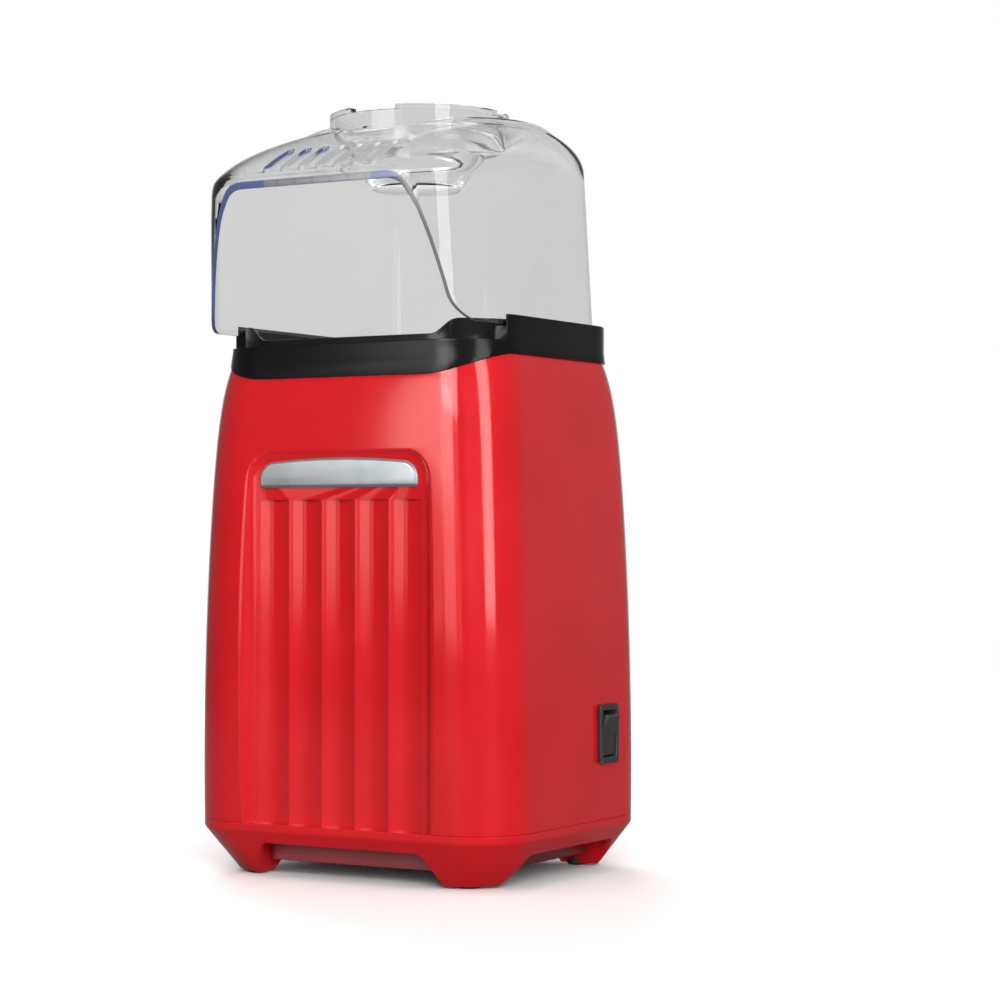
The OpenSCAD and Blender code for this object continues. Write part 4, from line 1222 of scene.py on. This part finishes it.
def bow(edit: Edit, half: float, cuts: int, level: Callable[[float], bool],
        rise: Callable[[float], float]) -> None:
    """Divides the picked edges, which run along X, and lifts each place on them by its own rise.

    Args:
        edit: The open piece.
        half: How far the edges reach to each side of the axis.
        cuts: Number of parts that each edge is divided into.
        level: Tells by its height whether a vert is lifted.
        rise: How far the verts at a place in X are lifted.
    """
    bpy.ops.mesh.subdivide(number_cuts=cuts - 1)
    for step in range(cuts + 1):
        x = half * (2 * step / cuts - 1)
        if rise(x):
            edit.pick(Pick.VERTS, lambda at, v: abs(at.x - x) < 0.01 and level(at.z))
            edit.move((0, 0, rise(x)))


def heights(low: float, high: float, count: int) -> list[float]:
    """Heights from low to high, drawn closer together towards the top."""
    return [low + (high - low) * (1 - (1 - i / count) ** 1.6) for i in range(count + 1)]


@dataclass
class Tower:
    """The housing: a bowed shell with a fluted panel and two openings."""

    bench: Bench
    width: float = 145.0
    depth: float = 120.0
    seam: float = 21.0
    top: float = 200.0
    corner: float = 23.5
    wall: float = 2.5
    taper_w: float = 12.8
    taper_d: float = 6.6
    bulge: float = 10.2
    shoulder: float = 5.9
    shoulder_power: int = 14
    panel_half: float = 39.4
    panel_top: float = 162.5
    panel_floor: float = 57.6
    panel_slope: float = 4.0
    panel_depth: float = 3.2
    panel_corner: float = 13.0
    panel_foot: float = 1.6
    flute_count: int = 5
    flutes_w: float = 75.5
    flute_depth: float = 1.4
    flute_land: float = 0.4
    flute_top: float = 145.3
    apron_drop: float = 8.0
    apron_flat: float = 36.0
    fit: float = 0.3
    rim_round: float = 1.3
    rim_growth: float = 0.43
    crest_round: float = 0.18
    seam_round: float = 0.35
    levels: int = 44
    switch_hole_half: tuple[float, float] = (6.45, 9.85)
    gland_radius: float = 5.25
    gland_z: float = 34.0

    def ring(self, z: float, grow: float = 0.0) -> Ring:
        """Outline of the tower at a height, grown by an offset.

        Args:
            z: Height.
            grow: Offset, negative for an inner skin.

        Returns:
            The rounded rectangle at that height.
        """
        t = min(1.0, max(0.0, (z - self.seam) / (self.top - self.seam)))
        lost = self.shoulder * t ** self.shoulder_power
        half = (self.width - self.taper_w * t * t - lost) / 2 + grow
        reach = (self.depth + self.bulge * t - (self.bulge + self.taper_d) * t * t - lost) / 2 + grow
        return Ring(z, half, reach, reach, self.corner + grow)

    def build(self) -> Object:
        """Models the shell.

        Returns:
            The finished shell.
        """
        shell = loft(self.bench, "tower_shell",
                     [self.ring(z) for z in heights(self.seam, self.top, self.levels)], 20)
        self.bench.cut(shell, self.hollow(), self.recess(), *self.flutes(0.0), self.above_apron(),
                       self.switch_hole(), self.gland_hole())
        self.finish(shell)
        return shell

    def hollow(self) -> Object:
        """Models the space inside, which leaves the wall behind the panel.

        Returns:
            The tool.
        """
        tool = loft(self.bench, "hollow",
                    [self.ring(z, -self.wall) for z in heights(self.seam - 1, self.top + 1, 16)], 10)
        half = self.panel_half + self.panel_slope
        backing = self.bench.box("backing", (-half, -self.depth, self.seam - 2),
                                 (half, self.wall - self.panel_floor, self.panel_top + self.wall))
        self.bench.cut(tool, backing, *self.flutes(self.wall))
        return tool

    def flutes(self, grow: float) -> list[Object]:
        """Adds the drums that scoop the flutes, thickened and raised by an offset for the wall behind.

        Args:
            grow: The offset in millimetres.

        Returns:
            The drums.
        """
        pitch = self.flutes_w / self.flute_count
        half = (pitch - self.flute_land) / 2
        radius = (half * half + self.flute_depth ** 2) / (2 * self.flute_depth)
        y = self.flute_depth - radius - self.panel_floor
        return [self.bench.drum("flute", radius + grow, self.seam - 3, self.flute_top + grow,
                                ((i - (self.flute_count - 1) / 2) * pitch, y), 160)
                for i in range(self.flute_count)]

    def recess(self) -> Object:
        """Models the space in front of the panel, with its sloping and softened sides.

        Returns:
            The tool.
        """
        outer = self.panel_half + self.panel_slope
        near = self.panel_floor + self.panel_depth
        tool = self.bench.box("recess", (-outer, -near - PAST, self.seam - PAST),
                              (outer, -near, self.panel_top + self.panel_slope))
        with self.bench.edit(tool) as edit:
            edit.round(lambda at, e: at.z > self.panel_top and abs(at.x) > outer - 1 and span(e).y > 1,
                       self.panel_corner, 12)
            edit.pick(Pick.FACES, lambda at, f: f.normal.y > 0.9)
            bpy.ops.mesh.inset(thickness=self.panel_slope * MM, depth=self.panel_depth * MM)
            edit.round(lambda at, e: abs(at.y + self.panel_floor) < 0.05 and sharp(e, 20), self.panel_foot, 4)
        return tool

    def above_apron(self) -> Object:
        """Models the space that the collar's apron takes at the front of the tower.

        Returns:
            The tool.
        """
        end = self.ring(self.top).half + 0.4
        tool = self.bench.box("apron_space", (-end, -self.depth, self.top - self.apron_drop),
                              (end, 0, self.top + PAST))
        with self.bench.edit(tool) as edit:
            edit.pick(Pick.EDGES, lambda at, e: span(e).x > 1)
            bow(edit, end, 48, lambda z: z < self.top, lambda x: self.apron_rise(x, end))
        return tool

    def apron_rise(self, x: float, end: float) -> float:
        """How far the apron's edge stands above its level middle at a distance from the middle."""
        part = max(0.0, abs(x) - self.apron_flat) / (end - self.apron_flat)
        return (self.apron_drop + self.fit) * part * part

    def switch_hole(self) -> Object:
        """Models the opening for the switch from the switch's own box.

        Returns:
            The tool.
        """
        low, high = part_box("switch_body")
        middle = self.bench.axis.read((low + high) / 2)
        along, up = self.switch_hole_half
        return self.bench.box("switch_hole", (self.width / 2 - 9, middle.y - along, middle.z - up),
                              (self.width / 2 + 5, middle.y + along, middle.z + up))

    def gland_hole(self) -> Object:
        """Adds the round opening for the cord gland at the rear."""
        at = (0, self.depth / 2, self.gland_z)
        return self.bench.bar("gland_hole", self.gland_radius, 16, at, (90, 0, 0), 48)

    def rim_edge(self, at: Vector, edge: bmesh.types.BMEdge) -> bool:
        """Tells whether an edge lies where the recess breaks the front of the tower.

        Args:
            at: The edge's middle in millimetres from the axis.
            edge: The edge.

        Returns:
            True along the rim.
        """
        outer = self.panel_half + self.panel_slope
        inside = abs(at.x) < outer + 0.1 and at.z < self.panel_top + self.panel_slope + 0.1
        off_front = abs(at.y + self.ring(at.z).front)
        return inside and off_front < 0.12 and at.z > self.seam + 0.5 and sharp(edge, 25)

    def crest_edge(self, at: Vector, edge: bmesh.types.BMEdge) -> bool:
        """Tells whether an edge is a crest between two flutes."""
        on_floor = abs(at.y + self.panel_floor) < 0.1 and abs(at.x) < self.panel_half
        return on_floor and span(edge).z > 60 and sharp(edge, 8)

    def seam_edge(self, at: Vector, edge: bmesh.types.BMEdge) -> bool:
        """Tells whether an edge is on the tower's outer outline at the seam.

        Args:
            at: The edge's middle in millimetres from the axis.
            edge: The edge.

        Returns:
            True along the outline.
        """
        if abs(at.z - self.seam) > 0.01 or not sharp(edge, 60):
            return False
        ring = self.ring(self.seam)
        x = abs(at.x) - (ring.half - ring.radius)
        y = abs(at.y) - (ring.front - ring.radius)
        if x > 0 and y > 0:
            return abs(math.hypot(x, y) - ring.radius) < 0.15
        return abs(abs(at.x) - ring.half) < 0.05 or abs(abs(at.y) - ring.front) < 0.05

    def finish(self, shell: Object) -> None:
        """Softens the panel's rim, the crests and the lower edge, and shades the shell.

        Args:
            shell: The shell after its cuts.
        """
        bench = self.bench
        bench.smooth(shell, 28)
        with bench.edit(shell) as edit:
            log.info("edges at the panel's rim: %d", edit.pick(Pick.EDGES, self.rim_edge))
            edit.weigh(lambda at: min(1.0, self.rim_growth * (self.ring(at.z).front - self.panel_floor)))
        bench.modify(shell, "BEVEL", width=self.rim_round * MM, segments=5, limit_method="WEIGHT",
                     use_clamp_overlap=False)
        with bench.edit(shell) as edit:
            log.info("crests: %d", edit.round(self.crest_edge, self.crest_round, 2, clamp=False))
            log.info("edges at the seam: %d", edit.round(self.seam_edge, self.seam_round, 3, clamp=False))
        bench.smooth(shell, 28)


@dataclass
class Hood:
    """The clear hood: a lofted shell with a neck, a leaning mouth and vent slots."""

    bench: Bench
    foot: float = 210.7
    half: float = 61.5
    rear: float = 51.3
    front: float = 73.3
    wall: float = 2.0
    front_wall: float = 0.8
    corner: float = 27.0
    shoulder: float = 64.3
    height: float = 82.3
    side_flare: float = 2.6
    front_flare: float = 4.4
    shoulder_inset: float = 21.0
    slope: float = 57.3
    slope_blend: float = 3.0
    slope_rate: float = 0.85
    slope_curve: float = 0.018
    neck: float = 35.7
    neck_wall: float = 2.0
    neck_top: float = 85.5
    mouth_lean: float = 13.2
    mouth_reach: float = 62.78
    mouth_fillet: float = 13.0
    slot_count: int = 7
    slot_width: float = 3.4
    slot_pitch: float = 8.0
    slot_length: float = 18.0
    slot_start: float = 71.4

    def ring(self, h: float, shrink: float = 0.0) -> Ring:
        """Outline of the hood at a height above its lower edge, shrunk for the inner skin.

        Args:
            h: Height above the lower edge.
            shrink: The wall's thickness for the inner skin.

        Returns:
            The rounded rectangle at that height.
        """
        lean = min(1.0, h / self.shoulder)
        rise = self.height - self.shoulder + 2
        inset = 0.0
        if h > self.shoulder:
            inset = self.shoulder_inset * (1 - math.sqrt(1 - ((h - self.shoulder) / rise) ** 2))
        s = h - self.slope
        straight = self.slope_rate * (s + math.hypot(s, self.slope_blend))
        front_inset = straight + self.slope_curve * max(0.0, s) ** 2
        half = self.half - self.side_flare * lean - inset
        rear = self.rear - self.side_flare * lean - inset
        front = self.front + self.front_flare * lean - front_inset
        corner = min(self.corner + 1.2 * inset, half - 2, (front + rear) / 2 - 2)
        thinner = self.front_wall if shrink else 0.0
        return Ring(self.foot + h - shrink, half - shrink, front - thinner, rear - shrink, corner - shrink)

    def skin(self, name: str, start: float, shrink: float, segments: int) -> Object:
        """Models the outer or the inner form.

        Args:
            name: Name of the new object.
            start: Height of its lowest level above the hood's edge.
            shrink: The wall's thickness for the inner form.
            segments: Sides in each corner arc.

        Returns:
            The closed form.
        """
        straight = [start, 0.25 * self.slope, 0.5 * self.slope, 0.75 * self.slope]
        rings = [self.ring(h, shrink) for h in straight + heights(self.slope - 5, self.height, 30)]
        return loft(self.bench, name, rings, segments)

    def build(self) -> Object:
        """Models the hood.

        Returns:
            The finished hood.
        """
        low = self.foot + self.shoulder
        hood = self.skin("hood_shell", 0, 0, 24)
        self.bench.combine(hood, self.bench.drum("neck", self.neck, low, self.foot + self.neck_top), "UNION")
        hollow = self.skin("hood_hollow", -1, self.wall, 20)
        bore = self.bench.drum("bore", self.neck - self.neck_wall, low - 1, self.foot + self.neck_top + PAST)
        self.bench.combine(hollow, bore, "UNION")
        slots = [self.slot((i - (self.slot_count - 1) / 2) * self.slot_pitch) for i in range(self.slot_count)]
        self.bench.cut(hood, hollow, self.mouth(), self.mouth_foot(), *slots)
        return hood

    def mouth(self) -> Object:
        """Models the space in front of the leaning mouth.

        Returns:
            The tool.
        """
        run = math.tan(math.radians(self.mouth_lean))
        top = self.height + PAST
        tool = self.bench.box("mouth_space", (-90, -160, self.foot), (90, -self.mouth_reach, self.foot + top))
        with self.bench.edit(tool) as edit:
            edit.pick(Pick.VERTS, lambda at, v: at.y > -100 and at.z > self.foot + 9)
            edit.move((0, -top * run, 0))
            edit.pick(Pick.FACES, lambda at, f: f.normal.z < -0.9)
            edit.extrude((0, 2 * run, -2))
        return tool

    @property
    def tangent(self) -> float:
        """Distance from the axis to where the mouth's foot runs into the hood's lower edge."""
        return self.mouth_reach - self.mouth_fillet / math.tan(math.radians(90 + self.mouth_lean) / 2)

    def mouth_foot(self) -> Object:
        """Models what rounds off the corner between the mouth and the hood's lower edge.

        Returns:
            The tool.
        """
        radius = self.mouth_fillet
        high = radius * (1 - math.sin(math.radians(self.mouth_lean)))
        tool = self.bench.box("mouth_foot", (-80, -self.mouth_reach - PAST, self.foot - 2),
                              (80, -self.tangent, self.foot + high))
        middle = (0, -self.tangent, self.foot + radius)
        arc = self.bench.bar("mouth_foot_arc", radius, 200, middle, (0, 90, 0), 144)
        self.bench.cut(tool, arc)
        return tool

    def cut_face(self, at: Vector, normal: Vector) -> bool:
        """Tells whether a face belongs to the mouth's cut edge.

        Args:
            at: The face's middle in millimetres from the axis.
            normal: Its normal.

        Returns:
            True on the leaning cut and on its rounded foot.
        """
        lean = math.radians(self.mouth_lean)
        off_plane = (at.y + self.mouth_reach) * math.cos(lean) + (at.z - self.foot) * math.sin(lean)
        off_arc = math.hypot(at.y + self.tangent, at.z - self.foot - self.mouth_fillet) - self.mouth_fillet
        on_plane = abs(off_plane) < 0.05 and normal.y < -0.9
        on_arc = abs(off_arc) < 0.05 and at.z < self.foot + self.mouth_fillet and abs(normal.x) < 0.2
        return on_plane or on_arc

    def slot_wall(self, at: Vector, normal: Vector) -> bool:
        """Tells whether a face is the inner wall of a vent slot.

        Args:
            at: The face's middle in millimetres from the axis.
            normal: Its normal.

        Returns:
            True inside a slot.
        """
        across = self.slot_pitch * self.slot_count / 2
        upright = abs(normal.z) < 0.05
        return upright and abs(at.x) < across and -1 < at.y + self.slot_start < self.slot_length + 2

    def slot(self, x: float) -> Object:
        """Models the upright cutter of one round-ended vent slot.

        Args:
            x: The slot's centre in X.

        Returns:
            The cutter.
        """
        half = self.slot_width / 2
        low = self.foot + self.slope - 10
        tool = self.bench.box("vent_slot", (x - half, -self.slot_start, low),
                              (x + half, self.slot_length - self.slot_start, low + 40))
        with self.bench.edit(tool) as edit:
            edit.round(lambda at, e: span(e).z > 9, half * 0.999, 8)
        return tool

    def finish(self, hood: Object, mouth: bpy.types.Material, vents: bpy.types.Material) -> None:
        """Shades the hood and gives its cut faces, which gather the light, their own finishes of painted
        light.

        Args:
            hood: The hood after its cuts, with its main finish in its first slot.
            mouth: Finish of the mouth's edge, with painted light.
            vents: Finish of the slots' walls, with painted light.
        """
        self.bench.smooth(hood, 32)
        hood.data.materials.append(mouth)
        hood.data.materials.append(vents)
        for face in hood.data.polygons:
            at = self.bench.axis.read(face.center)
            if self.cut_face(at, face.normal):
                face.material_index = 1
            elif self.slot_wall(at, face.normal):
                face.material_index = 2


@dataclass
class Skirt:
    """The base: a sloping skirt on four feet, with arches between them and a locating rim on top."""

    bench: Bench
    width: float = 145.0
    depth: float = 120.0
    seam: float = 21.0
    land: float = 3.0
    foot: float = 0.8
    inset: float = 10.0
    corner: float = 23.5
    wall: float = 2.5
    deck: float = 2.5
    arch_half: float = 36.0
    side_arch_half: float = 32.5
    arch_height: float = 13.4
    arch_spread: float = 7.0
    arch_round: float = 2.5
    below: float = 0.6
    screw_x: float = 48.5
    screw_y: float = 42.0
    pad_radius: float = 4.25
    pad_depth: float = 4.5
    screw_radius: float = 2.0
    boss_radius: float = 4.3
    rim_front: float = 53.4
    edge_round: float = 0.7
    deck_hole: tuple[float, float, float] = (45.5, 36.5, 6.0)

    def skin(self, name: str, grow: float, low: float, high: float, segments: int) -> Object:
        """Models the sloping form, grown by an offset.

        Args:
            name: Name of the new object.
            grow: Offset, negative for an inner form.
            low: Height of its lower end.
            high: Height of its upper end.
            segments: Sides in each corner arc.

        Returns:
            The closed form.
        """
        rings = []
        for z in sorted({low, self.seam - self.land, high}):
            lost = self.inset * max(0.0, self.seam - self.land - z) / (self.seam - self.land - self.foot)
            reach = self.depth / 2 - lost + grow
            rings.append(Ring(z, self.width / 2 - lost + grow, reach, reach, self.corner + grow))
        return loft(self.bench, name, rings, segments)

    def build(self) -> Object:
        """Models the skirt.

        Returns:
            The finished skirt.
        """
        bench = self.bench
        skirt = self.skin("base_skirt_shell", 0, self.foot, self.seam, 24)
        with bench.edit(skirt) as edit:
            edit.round(lambda at, e: min(abs(at.z - self.foot), abs(at.z - self.seam + self.land)) < 0.01,
                       self.edge_round, 3)
        over = self.seam + PAST
        bench.cut(skirt, self.cavity(), self.rounded_block("deck_hole", *self.deck_hole, 0, over))
        bench.combine(skirt, self.rim(), "UNION")
        for turn, half, height, reach in ((0, self.arch_half, self.arch_height, self.depth),
                                          (90, self.side_arch_half, self.arch_height - 0.9, self.width)):
            bench.cut(skirt, self.arch(turn, half, height, reach))
        for x in (-self.screw_x, self.screw_x):
            for y in (-self.screw_y, self.screw_y):
                for name, radius, low, high, sides in (("pad_seat", self.pad_radius, -1, self.pad_depth, 48),
                                                       ("screw_way", self.screw_radius, -1, over, 32),
                                                       ("boss_seat", self.boss_radius, self.seam, over, 48)):
                    bench.cut(skirt, bench.drum(name, radius, low, high, (x, y), sides))
        bench.smooth(skirt, 28)
        return skirt

    def cavity(self) -> Object:
        """Models the cross-shaped space below the deck, between the feet.

        Returns:
            The tool.
        """
        top = self.seam - self.deck
        space = self.skin("cavity", -self.wall, self.foot - 1, top, 12)
        across = self.arch_half + self.arch_spread - 3
        along = self.side_arch_half + self.arch_spread - 3
        cross = self.bench.box("cross", (-across, -self.depth, -2), (across, self.depth, top + 1))
        arm = self.bench.box("cross_arm", (-self.width, -along, -3), (self.width, along, top + 2))
        self.bench.combine(cross, arm, "UNION")
        self.bench.combine(space, cross, "INTERSECT")
        return space

    def rounded_block(self, name: str, half: float, reach: float, radius: float, low: float, high: float,
                      front: float | None = None) -> Object:
        """Models an upright block with rounded corners.

        Args:
            name: Name of the new object.
            half: Half its width.
            reach: Distance of its rear face from the axis, and of its front face if none is given.
            radius: Radius of its corners.
            low: Height of its lower face.
            high: Height of its upper face.
            front: Distance of its front face from the axis.

        Returns:
            The block.
        """
        fore = reach if front is None else front
        block = self.bench.box(name, (-half, -fore, low), (half, reach, high))
        with self.bench.edit(block) as edit:
            edit.round(lambda at, e: span(e).z > 1, radius, 10)
        return block

    def rim(self) -> Object:
        """Models the rim that stands inside the tower's wall.

        Returns:
            The rim.
        """
        inside = self.wall + 0.3
        low, high = self.seam - self.deck / 2, self.seam + 4
        half, reach = self.width / 2 - inside, self.depth / 2 - inside
        radius = self.corner - inside
        rim = self.rounded_block("rim", half, reach, radius, low, high, self.rim_front)
        core = self.rounded_block("rim_core", half - 2, reach - 2, radius - 2, low - 1, high + 1,
                                  self.rim_front - 2)
        self.bench.cut(rim, core)
        return rim

    def arch(self, turn: float, half: float, height: float, reach: float) -> Object:
        """Models the space under a pair of opposite arches, wider at the floor and wider still below it.

        Args:
            turn: Angle about the axis in degrees.
            half: Half its width at the top.
            height: Height of its top.
            reach: How far it runs from the axis.

        Returns:
            The space.
        """
        tool = self.bench.box("arch", (-half, -reach, -height * self.below), (half, reach, height))
        with self.bench.edit(tool) as edit:
            edit.pick(Pick.FACES, lambda at, f: f.normal.z < -0.9)
            spread = (1 + self.below) * self.arch_spread
            edit.resize(((half + spread) / half, 1, 1), (0, 0, 0))
            edit.round(lambda at, e: at.z > height - 0.1 and span(e).y > 1, self.arch_round, 6)
            edit.pick(Pick.FACES)
            edit.turn(turn)
        return tool


@dataclass
class Plate:
    """The bare grey name plate above the flutes."""

    bench: Bench
    half: float = 35.9
    low: float = 150.0
    high: float = 161.2
    crown: float = 1.3
    back: float = 56.6
    face: float = 58.3
    lift: float = 0.8
    chamfer: float = 0.9
    corner: float = 7.0
    low_corner: float = 1.2
    edge_round: float = 0.25

    def build(self) -> Object:
        """Models the plate: rounded upper corners, a crowned top and a bevelled face.

        Returns:
            The finished plate.
        """
        top = self.high - self.crown
        plate = self.bench.box("front_plate", (-self.half, -self.face, self.low),
                               (self.half, -self.back, top))
        with self.bench.edit(plate) as edit:
            edit.round(lambda at, e: span(e).y > 0.5 and at.z > top - 0.1, self.corner, 10)
            edit.round(lambda at, e: span(e).y > 0.5 and at.z < self.low + 0.1, self.low_corner, 4)
            level = self.half - self.corner
            edit.pick(Pick.EDGES, lambda at, e: at.z > top - 0.01 and span(e).x > level)
            bow(edit, level, 16, lambda z: z > top - 0.01, lambda x: self.crown * (1 - (x / level) ** 2))
            edit.pick(Pick.FACES, lambda at, f: f.normal.y < -0.9)
            bpy.ops.mesh.inset(thickness=self.chamfer * MM, depth=self.lift * MM)
            edit.round(lambda at, e: at.y < 0.05 - self.face - self.lift and sharp(e, 10), self.edge_round, 3)
        self.bench.smooth(plate, 40)
        return plate


@dataclass
class Cup:
    """The measuring cup: a turned bowl with a notched flange."""

    bench: Bench
    wall: float = 1.5
    notch_z: float = 296.2
    rim_z: float = 298.0
    notch_reach: float = 29.4
    edge_round: float = 0.5
    notches: tuple[tuple[float, float], ...] = ((0, 10.3), (180, 10.3), (98, 4.6), (-98, 4.6))
    profile: tuple[tuple[float, float], ...] = (
        (18.8, 269.0), (21.3, 271.5), (24.8, 283.0), (30.4, 285.5), (33.4, 288.0), (33.4, 296.2),
        (35.7, 296.2), (35.7, 298.0), (31.9, 298.0), (31.9, 289.5), (28.9, 287.0), (23.3, 284.25),
        (19.8, 272.75), (17.3, 270.5),
    )

    def build(self) -> Object:
        """Models the cup.

        Returns:
            The finished cup.
        """
        cup = turned(self.bench, "cup_shell", self.profile, 112)
        with self.bench.edit(cup) as edit:
            edit.round(lambda at, e: min(abs(at.z - self.rim_z), abs(at.z - self.notch_z)) > 0.1
                       and span(e).z < 0.01 and sharp(e, 15), self.edge_round, 3)
        for turn, half in self.notches:
            notch = self.bench.box("notch", (-half, -40, self.notch_z),
                                   (half, -self.notch_reach, self.notch_z + PAST))
            with self.bench.edit(notch) as edit:
                edit.pick(Pick.FACES)
                edit.turn(turn)
            self.bench.cut(cup, notch)
        self.bench.smooth(cup, 30)
        return cup


def turned(bench: Bench, name: str, profile: Sequence[tuple[float, float]], segments: int) -> Object:
    """Models a solid of revolution by pulling a disc through its levels.

    Args:
        bench: The workbench.
        name: Name of the new object.
        profile: Radius and height of each level, down the outside first and then the inside.
        segments: Sides of the circle.

    Returns:
        The closed solid.
    """
    first, second = profile[0], profile[1]
    piece = bench.drum(name, first[0], first[1], second[1], segments=segments)
    with bench.edit(piece) as edit:
        edit.pick(Pick.FACES, lambda at, f: f.normal.z > 0.9)
        edit.resize((second[0] / first[0],) * 2 + (1,), (0, 0, second[1]))
        for old, new in zip(profile[1:], profile[2:]):
            edit.extrude((0, 0, new[1] - old[1]))
            edit.resize((new[0] / old[0],) * 2 + (1,), (0, 0, new[1]))
    return piece


def mount(piece: Object, node: str, body: str, palette: Palette, finish: str) -> None:
    """Puts a new skin in a node's place, on its body and with its finish.

    Args:
        piece: The new skin.
        node: The node that it stands for.
        body: The body that it rides on.
        palette: The finishes.
        finish: The finish's name.
    """
    palette.dress(piece, finish)
    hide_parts(node)
    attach(piece, body)
    log.info("%s: %d faces for %s", piece.name, len(piece.data.polygons), node)


def main() -> None:
    """Builds and dresses the object, then the studio."""
    logging.basicConfig(level=logging.INFO, format="%(message)s")
    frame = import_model()
    axis = Axis.from_frame()
    bench = Bench(axis)
    Studio(bench).build()
    palette = Palette(Effects(), axis)
    InnerWorks(bench, palette, frame["nodes"]).build()
    mount(Tower(bench).build(), "housing", "tower", palette, "red_gloss")
    mount(Skirt(bench).build(), "base_skirt", "tower", palette, "red_gloss")
    mount(Plate(bench).build(), "badge", "tower", palette, "plate_grey")
    cup = Cup(bench).build()
    mount(cup, "measuring_cup", "cup", palette, "clear_cup")
    hood = Hood(bench)
    clear = hood.build()
    mount(clear, "hood", "hood", palette, "clear_hood")
    # The mouth's edge and the vents' walls get finishes of painted light.
    hood.finish(clear, palette.made["mouth_edge_painted_light"], palette.made["vent_edge_painted_light"])
    for piece in (cup, clear):  # Clear plastic lets the light through to the tray.
        piece.visible_shadow = False


if __name__ == "__main__":
    main()
